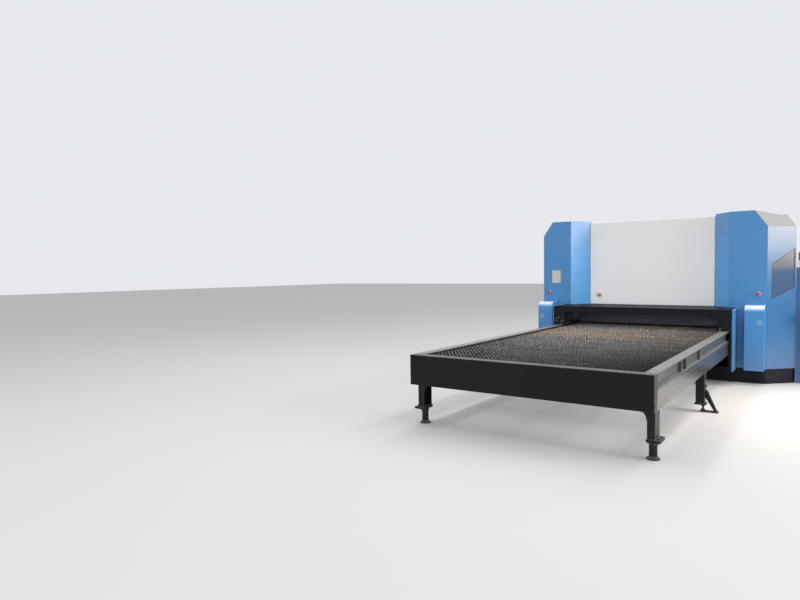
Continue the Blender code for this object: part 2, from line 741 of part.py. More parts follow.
# Tower feet, each with a cheek beside the hood and a rounded cover in front
base_in = HOOD_HALF + SEAT
base = block(base_in, TOWER_HALF, 0, BACK, PLINTH_H, tower_low - SEAT)
ledge_top = HOOD_TOP + LEDGE_RISE
ledge_section = [
    (-LEDGE_D, PLINTH_H),
    (-SEAT, PLINTH_H),
    (-SEAT, ledge_top),
    (-LEDGE_D, ledge_top),
]
ledge = prism(rounded(ledge_section, {3: LEDGE_R}, 6), "X", LEDGE_IN, LEDGE_OUT)
bridge = block(LEDGE_IN + 0.01, LEDGE_OUT - 0.01, -0.05, 0.05, PLINTH_H + 0.004, HOOD_TOP - 0.02)
CHEEK_T = 0.012
cheek = block(base_in, base_in + CHEEK_T, -HOOD_DEPTH, 0.05, PLINTH_H, HOOD_TOP)
base = union([base, cheek, ledge, bridge])
LOUVRE_X = 0.095
LOUVRE_W = 0.065
LOUVRE_STEP = 0.026
louvres = []
for k in range(3):
    z = HOOD_TOP - 0.155 - k * LOUVRE_STEP
    x1 = LEDGE_OUT - LOUVRE_X + LOUVRE_W
    louvre = [(-LEDGE_D - 0.01, z), (-LEDGE_D + 0.008, z), (-LEDGE_D - 0.01, z - 0.020)]
    louvres.append(prism(louvre, "X", LEDGE_OUT - LOUVRE_X, x1))
base = minus(base, together(louvres))
pair(base, "tower_base", "blue")

# White front panel between the towers
panel_low = HOOD_TOP + SEAT
front_panel = block(-PANEL_HALF, PANEL_HALF, RECESS_Y, BACK, panel_low, TOWER_TOP - PANEL_DROP)
finish(front_panel, "front_panel", "white")
DISC = [
    (0, -0.012),
    (0.040, -0.012),
    (0.042, -0.010),
    (0.042, 0.004),
    (0.030, 0.010),
    (0.012, 0.012),
    (0, 0.012),
]
disc_at = (-PANEL_HALF + 0.158, RECESS_Y - 0.012 - SEAT, HOOD_TOP + 0.168)
disc = lathe(DISC, disc_at, (0, -1, 0), 24)
finish(disc, "panel_lock", "brass", disc_at)

# Oblique corner panel on the right with its window
A = Vector((TOWER_HALF + SEAT, 0.0))
C = Vector((CABIN_RIGHT, CORNER_Y))
along = (C - A).normalized()
inward = Vector((-along.y, along.x))
corner_t = 0.03
inner_y = A.y + corner_t / along.x
corner_plan = [
    tuple(A),
    tuple(C),
    (CABIN_RIGHT, BACK),
    (A.x + (BACK - inner_y) * along.x / along.y, BACK),
    (A.x, inner_y),
]
corner = prism(corner_plan, "Z", PLINTH_H, EAVE_Z)
span = (C - A).length
WIN_LEFT = 0.075
WIN_RIGHT = 0.02
WIN_Z = (1.217, 1.719, 1.948, 1.376)


def on_corner(s, deep, z):
    spot = A + along * s + inward * deep
    return (spot.x, spot.y, z)


def window_solid(shrink, deep0, deep1):
    s0 = WIN_LEFT + shrink
    s1 = span - WIN_RIGHT - shrink
    z_scale = TOWER_TOP / 2.497
    low_left, high_left, high_right, low_right = (z * z_scale for z in WIN_Z)
    corners = []
    for deep in (deep0, deep1):
        corners.append(on_corner(s0, deep, low_left + shrink))
        corners.append(on_corner(s0, deep, high_left - shrink))
        corners.append(on_corner(s1, deep, high_right - shrink))
        corners.append(on_corner(s1, deep, low_right + shrink))
    return hull(corners)


corner = minus(corner, window_solid(0, -0.05, corner_t + 0.02))
finish(corner, "corner_panel", "pale_blue")
finish(window_solid(SEAT, 0.006, 0.014), "corner_glass", "glass")

# Sloping roof facet that closes the corner between the tower top and the cabin roof
lift = Vector((SEAT, 0, SEAT))
facet = [
    (TOWER_HALF - CHAMFER_X, 0, TOWER_TOP),
    (TOWER_HALF - CHAMFER_X, BACK, TOWER_TOP),
    (TOWER_HALF, 0, EAVE_Z),
    (TOWER_HALF, BACK, EAVE_Z),
    (CABIN_RIGHT, CORNER_Y, EAVE_Z),
    (CABIN_RIGHT, BACK, EAVE_Z),
    (CABIN_RIGHT - EAVE_X, CORNER_Y, ROOF_Z),
    (CABIN_RIGHT - EAVE_X, BACK, ROOF_Z),
]
finish(hull([Vector(p) + lift for p in facet]), "corner_roof", "grey")

# Cabin walls: one folded section each, the right one with the track of the sliding door
wall_y0 = BACK + SEAT
flange = 0.08
DOOR_Y0 = 1.75
DOOR_W = 1.55
DOOR_Z0 = 0.42
DOOR_HEAD = 0.204      # wall left over the door openings
door_z1 = EAVE_Z - DOOR_HEAD


def wall_outline(edge, side):
    path = [
        (edge, PLINTH_H),
        (edge, EAVE_Z),
        (edge - side * EAVE_X, ROOF_Z),
        (edge - side * (EAVE_X + flange), ROOF_Z),
    ]
    return folded(path, side * WALL_T)


wall_right = prism(wall_outline(CABIN_RIGHT, 1), "Y", wall_y0, CABIN_END)
door_hole = block(CABIN_RIGHT - 0.1, CABIN_RIGHT + 0.1, DOOR_Y0, DOOR_Y0 + DOOR_W, DOOR_Z0, door_z1)
wall_right = minus(wall_right, door_hole)
DOOR_LAP = 0.06
DOOR_T = 0.03
track_y1 = DOOR_Y0 + 2 * DOOR_W + 0.12
door_x0 = CABIN_RIGHT + 0.010
door_low = DOOR_Z0 - DOOR_LAP
door_high = door_z1 + DOOR_LAP
track_path = [
    (CABIN_RIGHT - 0.01, door_high + 0.034),
    (door_x0 + DOOR_T + 0.014, door_high + 0.034),
    (door_x0 + DOOR_T + 0.014, door_high - 0.020),
]
track = prism(folded(track_path, -0.006), "Y", DOOR_Y0 - DOOR_LAP, track_y1)
SILL_T = 0.005
sill_path = [
    (CABIN_RIGHT - 0.01, door_low - SILL_T - SEAT),
    (door_x0 + DOOR_T + 0.010, door_low - SILL_T - SEAT),
    (door_x0 + DOOR_T + 0.010, door_low + 0.020),
]
sill = prism(folded(sill_path, SILL_T), "Y", DOOR_Y0 - DOOR_LAP, track_y1)
wall_right = union([wall_right, track, sill])
finish(wall_right, "wall_right", "white")

SERVICE_Y0 = 1.5
SERVICE_W = 0.85
wall_left = prism(wall_outline(-TOWER_HALF, -1), "Y", wall_y0, CABIN_END)
service_hole = block(
    -TOWER_HALF - 0.1, -TOWER_HALF + 0.1, SERVICE_Y0, SERVICE_Y0 + SERVICE_W, DOOR_Z0, door_z1
)
wall_left = minus(wall_left, service_hole)
finish(wall_left, "wall_left", "white")

inner_left = -TOWER_HALF + WALL_T + SEAT
inner_right = CABIN_RIGHT - WALL_T - SEAT
rear = block(inner_left, inner_right, CABIN_END - WALL_T, CABIN_END, PLINTH_H, EAVE_Z - RIDGE_GAP)
rear_head_x0 = -TOWER_HALF + EAVE_X + flange + SEAT
rear_head_x1 = CABIN_RIGHT - EAVE_X - flange - SEAT
rear_head = block(rear_head_x0, rear_head_x1, CABIN_END - WALL_T, CABIN_END, EAVE_Z - 2 * RIDGE_GAP, ROOF_Z)
wall_rear = union([rear, rear_head])
finish(wall_rear, "wall_rear", "white")

# Roof sheet with raised stiffening beads
roof_x0 = -TOWER_HALF + EAVE_X + 0.01
roof_x1 = CABIN_RIGHT - EAVE_X - 0.01
roof_path = [(roof_x0, ROOF_Z + SEAT), (roof_x1, ROOF_Z + SEAT)]
roof = prism(folded(roof_path, ROOF_T), "Y", wall_y0, CABIN_END)
beads = []
BEADS = 6
for k in range(1, BEADS):
    y = wall_y0 + (CABIN_END - wall_y0) * k / BEADS
    bead = [
        (y - 0.05, ROOF_Z + ROOF_T - 0.004),
        (y + 0.05, ROOF_Z + ROOF_T - 0.004),
        (y + 0.03, ROOF_Z + ROOF_T + 0.014),
        (y - 0.03, ROOF_Z + ROOF_T + 0.014),
    ]
    beads.append(prism(bead, "X", roof_x0 + 0.1, roof_x1 - 0.1))
roof = cut_with(roof, together(beads), "UNION")
finish(roof, "roof", "white")

# Sliding door on the right, its window and its handle
door_y0 = DOOR_Y0 - DOOR_LAP + 0.01
door_y1 = DOOR_Y0 + DOOR_W + DOOR_LAP
door = block(door_x0, door_x0 + DOOR_T, door_y0, door_y1, door_low, door_high)
pane_y = (door_y0 + 0.42, door_y1 - 0.22)
pane_z = (1.20, door_high - 0.22)
door = minus(door, block(door_x0 - 0.1, door_x0 + 0.1, *pane_y, *pane_z))
handle_y = door_y0 + 0.16
handle_path = [
    (door_x0 + DOOR_T - 0.004, 1.02),
    (door_x0 + DOOR_T + 0.045, 1.02),
    (door_x0 + DOOR_T + 0.045, 1.32),
    (door_x0 + DOOR_T - 0.004, 1.32),
]
handle = prism(folded(handle_path, 0.014), "Y", handle_y - 0.012, handle_y + 0.012)
door = union([door, handle])
finish(door, "door_right", "blue")
pane_at = (pane_y[0] + SEAT, pane_y[1] - SEAT, pane_z[0] + SEAT, pane_z[1] - SEAT)
finish(block(door_x0 + 0.011, door_x0 + 0.019, *pane_at), "door_right_glass", "glass")

# Hinged service door on the left, set flush in its opening
DOOR_GAP = 0.004
hinge_at = (-TOWER_HALF, SERVICE_Y0 + DOOR_GAP, (DOOR_Z0 + door_z1) / 2)
service_y = (SERVICE_Y0 + DOOR_GAP, SERVICE_Y0 + SERVICE_W - DOOR_GAP)
service_z = (DOOR_Z0 + SEAT, door_z1 - DOOR_GAP)
service = block(-TOWER_HALF, -TOWER_HALF + 0.03, *service_y, *service_z)
lever_y = service_y[1] - 0.07
LEVER = [(0, -0.006), (0.024, -0.006), (0.024, 0.006), (0.012, 0.010), (0.012, 0.030), (0, 0.030)]
lever_hub = lathe(LEVER, (-TOWER_HALF, lever_y, 1.15), (-1, 0, 0), 16)
lever_x = (-TOWER_HALF - 0.034, -TOWER_HALF - 0.022)
lever = block(*lever_x, lever_y - 0.11, lever_y + 0.012, 1.138, 1.162)
service = union([service, lever_hub, lever])
finish(service, "door_left", "blue", hinge_at)

# Gantry: a tapered beam on two trucks, with two guides on its front
truck_z0 = BED_TOP + GUIDE_H + SEAT
truck_z1 = truck_z0 + TRUCK_H
truck_x = (GUIDE_X - 0.09, GUIDE_X + 0.09)
trucks = []
for side in (-1, 1):
    x0, x1 = stretch(side, *truck_x)
    y0 = GANTRY_Y - TRUCK_L / 2
    y1 = GANTRY_Y + TRUCK_L / 2
    truck_side = [
        (y0, truck_z0),
        (y1, truck_z0),
        (y1, truck_z1 - 0.04),
        (y1 - 0.06, truck_z1),
        (y0 + 0.06, truck_z1),
        (y0, truck_z1 - 0.04),
    ]
    trucks.append(prism(truck_side, "X", x0, x1))
beam_z0 = truck_z1 - 0.006
beam_z1 = beam_z0 + GANTRY_H
gantry_front = GANTRY_Y - GANTRY_D / 2
gantry_section = [
    (gantry_front, beam_z0),
    (gantry_front + GANTRY_D, beam_z0),
    (gantry_front + GANTRY_D, beam_z0 + GANTRY_H * 0.55),
    (gantry_front + GANTRY_D * 0.6, beam_z1),
    (gantry_front, beam_z1),
]
gantry_beam = prism(gantry_section, "X", -GUIDE_X - 0.11, GUIDE_X + 0.11)
guides = []
GUIDE_OUT = 0.022
for z in (beam_z0 + 0.045, beam_z1 - 0.045):
    section = [
        (gantry_front + 0.004, z - 0.014),
        (gantry_front - GUIDE_OUT, z - 0.014),
        (gantry_front - GUIDE_OUT, z + 0.014),
        (gantry_front + 0.004, z + 0.014),
    ]
    guides.append(prism(section, "X", -GUIDE_X + 0.1, GUIDE_X - 0.1))
gantry = union([gantry_beam, together(trucks), together(guides)])
gantry_at = (0, GANTRY_Y, beam_z0)
finish(gantry, "gantry", "white", gantry_at)

# Carriage on the gantry and the cutting head on the carriage
CARRIAGE_HALF = 0.15
carriage_y1 = gantry_front - GUIDE_OUT - SEAT
carriage_y0 = carriage_y1 - 0.035
carriage_z = (beam_z0 - 0.02, beam_z1 + 0.05)
carriage = block(-CARRIAGE_HALF, CARRIAGE_HALF, carriage_y0, carriage_y1, *carriage_z)
cheeks = []
for x in (-CARRIAGE_HALF + 0.02, CARRIAGE_HALF - 0.05):
    cheek_y = (carriage_y0 - 0.035, carriage_y0 + 0.004)
    cheeks.append(block(x, x + 0.03, *cheek_y, carriage_z[0] + 0.02, carriage_z[1]))
carriage = union([carriage, together(cheeks)])
carriage_at = (0, carriage_y1, beam_z0)
finish(carriage, "carriage", "aluminium", carriage_at)
HEAD_STROKE = 0.10
head_tip = SLAT_TOP + LIFT + HEAD_STROKE + 0.01
head_y = carriage_y0 - 0.062
head_back = carriage_y0 - SEAT
slide_z = (beam_z0 + 0.02, beam_z1 + 0.03)
head_plate = block(-0.075, 0.075, head_back - 0.03, head_back, *slide_z)
head_section = [
    (-0.05, slide_z[0] - 0.05),
    (0.05, slide_z[0] - 0.05),
    (0.05, slide_z[1] - 0.02),
    (-0.05, slide_z[1] - 0.02),
]
head_body = prism(head_section, "Y", head_y - 0.06, head_back - 0.02)
barrel_h = slide_z[0] - 0.04 - head_tip
BARREL = [
    (0, 0),
    (0.004, 0),
    (0.014, 0.025),
    (0.016, 0.045),
    (0.034, 0.06),
    (0.034, barrel_h),
    (0, barrel_h),
]
barrel = lathe(BARREL, (0, head_y, head_tip), (0, 0, 1), 20)
head = union([head_plate, head_body, barrel])
finish(head, "cutting_head", "black", (0, head_y, head_tip))

# Emergency stops on the towers
COLLAR = [(0.012, 0), (0.030, 0), (0.030, 0.012), (0.024, 0.018), (0.012, 0.018)]
BUTTON = [
    (0, 0.009),
    (0.0115, 0.009),
    (0.0115, 0.026),
    (0.022, 0.028),
    (0.024, 0.034),
    (0.021, 0.043),
    (0.010, 0.048),
    (0, 0.049),
]
stop_x = TOWER_HALF - 0.105
stop_z = HOOD_TOP + 0.213
for side, word in ((-1, "left"), (1, "right")):
    stop_at = (side * stop_x, -SEAT, stop_z)
    finish(lathe(COLLAR, stop_at, (0, -1, 0), 20), "estop_collar_" + word, "cream", stop_at)
    finish(lathe(BUTTON, stop_at, (0, -1, 0), 20), "estop_" + word, "red", stop_at)

# Operator console beside the corner, with a screen, a door and a signal lamp
console_x0 = CABIN_RIGHT + SEAT
console_x1 = console_x0 + CONSOLE_W
console_y0 = BACK + 0.01
console_y1 = console_y0 + CONSOLE_D
SHELF_Z = 0.95
console_section = [
    (console_y0, 0),
    (console_y1, 0),
    (console_y1, CONSOLE_H),
    (console_y0 + 0.05, CONSOLE_H),
    (console_y0, SHELF_Z + 0.14),
    (console_y0, SHELF_Z + 0.045),
    (console_y0 - 0.17, SHELF_Z + 0.02),
    (console_y0 - 0.17, SHELF_Z),
    (console_y0, SHELF_Z - 0.03),
]
console = prism(console_section, "X", console_x0, console_x1)
trim_x = (console_x0 - 0.1, console_x0 + 0.07)
side_trim = block(*trim_x, console_y0 - 0.3, console_y0, SHELF_Z - 0.1, SHELF_Z + 0.1)
console = minus(console, side_trim)
door_x = (console_x0 + 0.04, console_x1 - 0.04)
door_z = (0.12, SHELF_Z - 0.09)
CONSOLE_DOOR_T = 0.018
recess_y = (console_y0 - 0.1, console_y0 + CONSOLE_DOOR_T + SEAT)
console = minus(console, block(*door_x, *recess_y, *door_z))
screen_low = SHELF_Z + 0.22
tilt = 0.05 / (CONSOLE_H - SHELF_Z - 0.14)


def screen_solid(x_in, z_in, deep0, deep1):
    x0 = console_x0 + 0.07 + x_in
    x1 = console_x1 - 0.07 - x_in
    z0 = screen_low + z_in
    z1 = CONSOLE_H - 0.10 - z_in
    points = []
    for z in (z0, z1):
        lean = console_y0 + (z - SHELF_Z - 0.14) * tilt
        for deep in (deep0, deep1):
            points.append((lean + deep, z))
    order = [points[0], points[1], points[3], points[2]]
    return prism(order, "X", x0, x1)


console = minus(console, screen_solid(0, 0, -0.05, 0.020))
finish(console, "console_body", "dark_blue")
finish(screen_solid(SEAT, SEAT, 0.008, 0.020 - SEAT), "console_screen", "glass")
console_hinge = (door_x[1] - DOOR_GAP, console_y0, (door_z[0] + door_z[1]) / 2)
console_door = block(
    door_x[0] + DOOR_GAP,
    door_x[1] - DOOR_GAP,
    console_y0,
    console_y0 + CONSOLE_DOOR_T,
    door_z[0] + DOOR_GAP,
    door_z[1] - DOOR_GAP,
)
KNOB = [(0, -0.004), (0.012, -0.004), (0.012, 0.006), (0.018, 0.012), (0.016, 0.020), (0, 0.021)]
knob_at = (door_x[0] + 0.06, console_y0, (door_z[0] + door_z[1]) / 2)
console_door = union([console_door, lathe(KNOB, knob_at, (0, -1, 0), 14)])
finish(console_door, "console_door", "dark_blue", console_hinge)
LAMP_BASE = [(0, 0), (0.034, 0), (0.034, 0.012), (0.026, 0.022), (0.026, 0.100), (0, 0.100)]
LAMP = [(0, 0), (0.026, 0), (0.026, 0.105), (0.020, 0.122), (0, 0.128)]
lamp_at = (console_x0 + 0.045, console_y0 + 0.10, CONSOLE_H + SEAT)
finish(lathe(LAMP_BASE, lamp_at, (0, 0, 1), 20), "lamp_base", "white")
lamp_top = (lamp_at[0], lamp_at[1], lamp_at[2] + 0.100 + SEAT)
finish(lathe(LAMP, lamp_top, (0, 0, 1), 20), "lamp_red", "red")

# Move the whole machine so that the origin is the middle of its footprint
corners = []
for obj in bpy.context.scene.objects:
    for vertex in obj.data.vertices:
        corners.append(obj.location + vertex.co)
lows = [min(c[i] for c in corners) for i in range(3)]
highs = [max(c[i] for c in corners) for i in range(3)]
shift = Vector((-(lows[0] + highs[0]) / 2, -(lows[1] + highs[1]) / 2, -lows[2]))
for obj in bpy.context.scene.objects:
    obj.location = obj.location + shift
print("shift", tuple(round(v, 6) for v in shift), "size", [round(h - l, 4) for l, h in zip(lows, highs)])
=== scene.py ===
# %% [markdown]
# # A sheet laser cutter, dressed around its measured frame
#
# The machine's solids come in as a fixed frame, in metres, with +Z up and +Y running from the shuttle
# table into the cabin. This lesson keeps their places and gives each one the edges, the small parts and
# the finish that the real machine has. The frame is loaded first, because every later step asks it where
# things are.

# %% Load the frame
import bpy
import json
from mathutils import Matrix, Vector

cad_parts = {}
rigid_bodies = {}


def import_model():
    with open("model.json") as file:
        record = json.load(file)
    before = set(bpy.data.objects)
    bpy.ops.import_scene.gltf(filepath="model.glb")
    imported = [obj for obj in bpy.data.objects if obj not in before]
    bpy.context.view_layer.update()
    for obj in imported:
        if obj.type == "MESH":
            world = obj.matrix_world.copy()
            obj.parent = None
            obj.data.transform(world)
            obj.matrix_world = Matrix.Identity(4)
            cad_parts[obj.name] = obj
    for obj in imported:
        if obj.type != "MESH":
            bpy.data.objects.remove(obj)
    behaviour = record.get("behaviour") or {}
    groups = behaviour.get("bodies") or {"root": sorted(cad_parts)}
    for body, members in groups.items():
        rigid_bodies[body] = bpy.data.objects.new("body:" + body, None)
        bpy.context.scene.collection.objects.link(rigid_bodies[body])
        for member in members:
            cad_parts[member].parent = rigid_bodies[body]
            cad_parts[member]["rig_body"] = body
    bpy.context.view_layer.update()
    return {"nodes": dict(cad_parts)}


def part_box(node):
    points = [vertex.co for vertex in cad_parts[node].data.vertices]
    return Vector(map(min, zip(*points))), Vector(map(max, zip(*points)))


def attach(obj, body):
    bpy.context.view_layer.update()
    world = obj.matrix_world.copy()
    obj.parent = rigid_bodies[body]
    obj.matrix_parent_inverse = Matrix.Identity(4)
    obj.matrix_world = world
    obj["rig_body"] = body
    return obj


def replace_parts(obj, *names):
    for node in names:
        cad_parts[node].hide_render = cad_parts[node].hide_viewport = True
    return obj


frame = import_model()

# %% [markdown]
# Two tools are used all the way through. The first turns a finished bmesh into a piece that rides
# on one moving body. The second makes a bar between two corners out of the cube operator, which is
# stretched and moved by one matrix. Sheet metal is never razor sharp, so the bar may take a bevel at once.

# %% Tools for making pieces
import json
import math
import random

import bmesh
import bpy
from mathutils import Matrix, Vector

scene = bpy.context.scene
triangles = {}


def settle(bm, name="part"):
    """Write a bmesh into a new mesh and let the bmesh go."""
    mesh = bpy.data.meshes.new(name)
    bm.to_mesh(mesh)
    bm.free()
    return mesh


def put(name, data):
    """Put a new object into the scene."""
    thing = bpy.data.objects.new(name, data)
    scene.collection.objects.link(thing)
    return thing


def show(bm, name, body, look, smooth_below=35):
    """Turn a finished bmesh into a piece with one finish, riding on a body."""
    mesh = settle(bm, name)
    piece = put(name, mesh)
    mesh.materials.append(look)
    mesh.shade_smooth()
    mesh.set_sharp_from_angle(angle=math.radians(smooth_below))
    even = piece.modifiers.new("even shading", "WEIGHTED_NORMAL")
    even.keep_sharp = True
    triangles[name] = sum(len(face.vertices) - 2 for face in mesh.polygons)
    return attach(piece, body)


def round_edges(bm, radius, segments=2):
    """Bevel every edge that turns by more than 25 degrees."""
    sharp = [e for e in bm.edges if e.is_manifold and e.calc_face_angle(0) > math.radians(25)]
    bmesh.ops.bevel(bm, geom=sharp, offset=radius, offset_type="OFFSET", segments=segments,
                    profile=0.5, affect="EDGES", clamp_overlap=True, material=-1)


def add_bar(bm, low, high, radius=0.0, segments=2):
    """Add a bar between two corners to a bmesh."""
    low, high = Vector(low), Vector(high)
    part = bmesh.new()
    place = Matrix.Translation((low + high) / 2) @ Matrix.Diagonal((*(high - low), 1))
    bmesh.ops.create_cube(part, size=1, matrix=place)
    if radius:
        round_edges(part, radius, segments)
    take_in(bm, part)


def take_in(bm, part):
    """Copy one bmesh into another and let the first one go."""
    mesh = settle(part)
    bm.from_mesh(mesh)
    bpy.data.meshes.remove(mesh)


def middle(box):
    """The point halfway between the two corners of a box."""
    return Vector(((a + b) / 2 for a, b in zip(*box)))


# %% [markdown]
# Buttons, wheels, bolts, nuts and lamps are all turned parts. One tool spins a half profile, given as
# radius and height, about its axis, closes the seam and lays the axis along any direction. A hexagon head
# is a cone with six sides and nearly equal radii.

# %% Tools for round parts
def add_turned(bm, profile, at, axis, steps=24):
    """Spin a profile of (radius, height) pairs about an axis and add it to a bmesh."""
    part = bmesh.new()
    ring = [part.verts.new((radius, 0, height)) for radius, height in profile]
    edges = [part.edges.new(pair) for pair in zip(ring, ring[1:])]
    bmesh.ops.spin(part, geom=ring + edges, cent=(0, 0, 0), axis=UP, angle=2 * math.pi,
                   steps=steps, use_merge=True)
    bmesh.ops.remove_doubles(part, verts=part.verts, dist=1e-6)
    bmesh.ops.recalc_face_normals(part, faces=part.faces)
    lay_along(part, at, axis)
    take_in(bm, part)


def lay_along(bm, at, axis):
    """Turn a part from standing on Z to an axis, and carry it to its place."""
    turn = Vector(UP).rotation_difference(Vector(axis)).to_matrix().to_4x4()
    bmesh.ops.transform(bm, matrix=Matrix.Translation(at) @ turn, verts=bm.verts)


UP = (0, 0, 1)
RIVET = [(0, 0.0026), (0.0018, 0.0024), (0.0034, 0.0012), (0.0038, 0)]


def add_bolt(bm, at, axis, radius, height=None, washer=True):
    """A hexagon head on a washer; the point given lies on the surface that it clamps."""
    height = height or radius * 0.75
    part = bmesh.new()
    bmesh.ops.create_cone(part, cap_ends=True, segments=6, radius1=radius, radius2=radius * 0.94,
                          depth=height, matrix=Matrix.Translation((0, 0, height / 2 + radius * 0.2)))
    if washer:
        bmesh.ops.create_cone(part, cap_ends=True, segments=14, radius1=radius * 1.5,
                              radius2=radius * 1.45, depth=radius * 0.3)
    lay_along(part, at, axis)
    take_in(bm, part)


# %% [markdown]
# The camera looks from standing eye height, well to the right of the table, turned about 36 degrees to the
# left of the machine's axis. Its three axes are written as a matrix, because the small roll of a hand-held
# camera is easier to keep that way than as three angles.

# %% Camera
PHOTO_WIDTH = 800
FOCAL_PIXELS = 607.446
CAMERA_AT = Vector((2.06485, -10.4648, 1.68))
YAW, PITCH, ROLL = (math.radians(a) for a in (35.912, -2.659, -0.7325))

ahead = Vector((-math.sin(YAW) * math.cos(PITCH), math.cos(YAW) * math.cos(PITCH), math.sin(PITCH)))
level = Vector((math.cos(YAW), math.sin(YAW), 0))
above = level.cross(ahead)
side = level * math.cos(ROLL) + above * math.sin(ROLL)
top = above * math.cos(ROLL) - level * math.sin(ROLL)
lens = bpy.data.cameras.new("camera")
lens.sensor_width = 36
lens.lens = FOCAL_PIXELS / PHOTO_WIDTH * lens.sensor_width
lens.clip_end = 200
camera = put("camera", lens)
camera.matrix_world = Matrix((side, top, -ahead)).transposed().to_4x4()
camera.location = CAMERA_AT
scene.camera = camera
print("lens", round(lens.lens, 3), "mm")

# %% [markdown]
# The machine stands in a plain studio: a pale floor, a pale surrounding and large soft lamps. Two long
# strips overhead draw the bright line on every rounded edge, and a broad lamp on the right whitens the
# faces that look towards it. A small warm lamp brightens the floor that the glossy side of the table
# mirrors. The lamp behind the camera only fills the shade, so it is kept out of reflections, where it
# would wash the blue out. The floor's finish is the simplest one: a shader with three numbers set on it.

# %% Floor and light
def start(name, colour, rough, metal=0.0):
    """A new finish with its shader; numbers that are the same everywhere stay on the shader."""
    look = bpy.data.materials.new(name)
    look.use_nodes = True
    shader = look.node_tree.nodes["Principled BSDF"]
    shader.inputs["Base Color"].default_value = (*colour, 1)
    shader.inputs["Roughness"].default_value = rough
    shader.inputs["Metallic"].default_value = metal
    return look, shader


floor_bm = bmesh.new()
bmesh.ops.create_grid(floor_bm, x_segments=1, y_segments=1, size=60)
floor = put("floor", settle(floor_bm, "floor"))
floor.location.z = -0.001
floor.data.materials.append(start("pale floor", (0.55, 0.54, 0.525), 0.85)[0])


def soft_lamp(name, at, towards, size, watts, tint=(1, 1, 1), spread=180, mirrored=True):
    """A rectangular lamp that shines from one point towards another."""
    lamp = bpy.data.lights.new(name, "AREA")
    lamp.spread = math.radians(spread)
    lamp.shape = "RECTANGLE"
    lamp.size, lamp.size_y = size
    lamp.energy = watts
    lamp.color = tint
    holder = put(name, lamp)
    holder.location = at
    holder.rotation_euler = (Vector(towards) - Vector(at)).to_track_quat("-Z", "Y").to_euler()
    holder.visible_glossy = mirrored


for number, across in enumerate((-3.2, 2.8)):
    soft_lamp("overhead strip " + str(number + 1), (across, -1, 8.5), (across, -1, 0), (1.3, 18), 380)
soft_lamp("broad side lamp", (11.5, -1.5, 4.4), (0, -1.5, 2.2), (9, 4.6), 560, (1, 0.98, 0.96), 120)
soft_lamp("warm floor lamp", (3.4, -1.6, 3.2), (2.2, -1.9, 0), (2.4, 3.4), 30, (1, 0.9, 0.72), 70)
soft_lamp("fill behind the camera", (-1, -15, 2.2), (0, 0, 1.2), (14, 4), 330, mirrored=False)
world = bpy.data.worlds.new("pale room")
world.use_nodes = True
backdrop = world.node_tree.nodes["Background"]
backdrop.inputs["Color"].default_value = (0.86, 0.88, 0.92, 1)
backdrop.inputs["Strength"].default_value = 0.92
scene.world = world
scene.view_settings.view_transform = "Standard"

# %% [markdown]
# Paint on a factory machine is never one flat colour. Every finish below is made of the same few moves: a
# noise that reads the object's own coordinates, a mask cut out of that noise, a mix of two colours by the
# mask, and a fine bump for the skin of the paint. Written once as short helpers, they let each finish read
# as a recipe. A socket knows its own node tree, so most helpers need only sockets.

# %% Helpers for finishes
def node(tree, kind, **settings):
    """A new node in a node tree, with its settings."""
    made = tree.nodes.new("ShaderNode" + kind)
    for key, value in settings.items():
        setattr(made, key, value)
    return made


def join(source, target):
    source.id_data.links.new(source, target)


def feed(slot, value):
    """Give an input a number, a colour or the output of another node."""
    if isinstance(value, bpy.types.NodeSocket):
        join(value, slot)
    else:
        slot.default_value = (*value, 1) if isinstance(value, tuple) else value


def axes(look, kind="Object"):
    """The X, Y and Z of the object's own coordinates, or of its own normal."""
    where = node(look.node_tree, "TexCoord")
    parts = node(look.node_tree, "SeparateXYZ")
    join(where.outputs[kind], parts.inputs[0])
    return parts.outputs[:]


def cloud(look, scale, detail=4.0, rough=0.6, stretch=(1, 1, 1)):
    """A noise over the object's coordinates; a stretch makes its grain long in one direction."""
    where = node(look.node_tree, "TexCoord")
    mapping = node(look.node_tree, "Mapping")
    mapping.inputs["Scale"].default_value = stretch
    join(where.outputs["Object"], mapping.inputs["Vector"])
    noise = node(look.node_tree, "TexNoise")
    for key, value in (("Scale", scale), ("Detail", detail), ("Roughness", rough)):
        noise.inputs[key].default_value = value
    join(mapping.outputs["Vector"], noise.inputs["Vector"])
    return noise.outputs["Fac"]


def cut(source, low, high, to_low=0.0, to_high=1.0):
    """Stretch the part of a value between low and high to a new range."""
    span = node(source.id_data, "MapRange")
    join(source, span.inputs["Value"])
    for key, value in (("From Min", low), ("From Max", high), ("To Min", to_low), ("To Max", to_high)):
        span.inputs[key].default_value = value
    return span.outputs["Result"]


def times(a, b, how="MULTIPLY"):
    """Multiply two values, or join them by another operation; each is a number or a socket."""
    made = node((b if isinstance(a, float) else a).id_data, "Math", operation=how)
    feed(made.inputs[0], a)
    feed(made.inputs[1], b)
    return made.outputs[0]


def blend(mask, a, b):
    """Mix two colours by a mask; each colour is a tuple or a socket."""
    mixer = node(mask.id_data, "Mix", data_type="RGBA")
    for number, value in ((0, mask), (6, a), (7, b)):
        feed(mixer.inputs[number], value)
    return mixer.outputs[2]


def skin(shader, height, strength, depth):
    """Bump the surface by a height map."""
    bump = node(height.id_data, "Bump")
    bump.inputs["Strength"].default_value = strength
    bump.inputs["Distance"].default_value = depth
    join(height, bump.inputs["Height"])
    join(bump.outputs["Normal"], shader.inputs["Normal"])


def facing_up(look, low, high):
    """A mask for dust, and on the ledges for a painted highlight: it is one where the piece's own surface looks
    up.
    """
    return cut(axes(look, "Normal")[2], low, high)


def by_height(look, low, high, to_low=0.0, to_high=1.0):
    """A mask that goes from one value to another between two heights of the machine."""
    return cut(axes(look)[2], low, high, to_low, to_high)


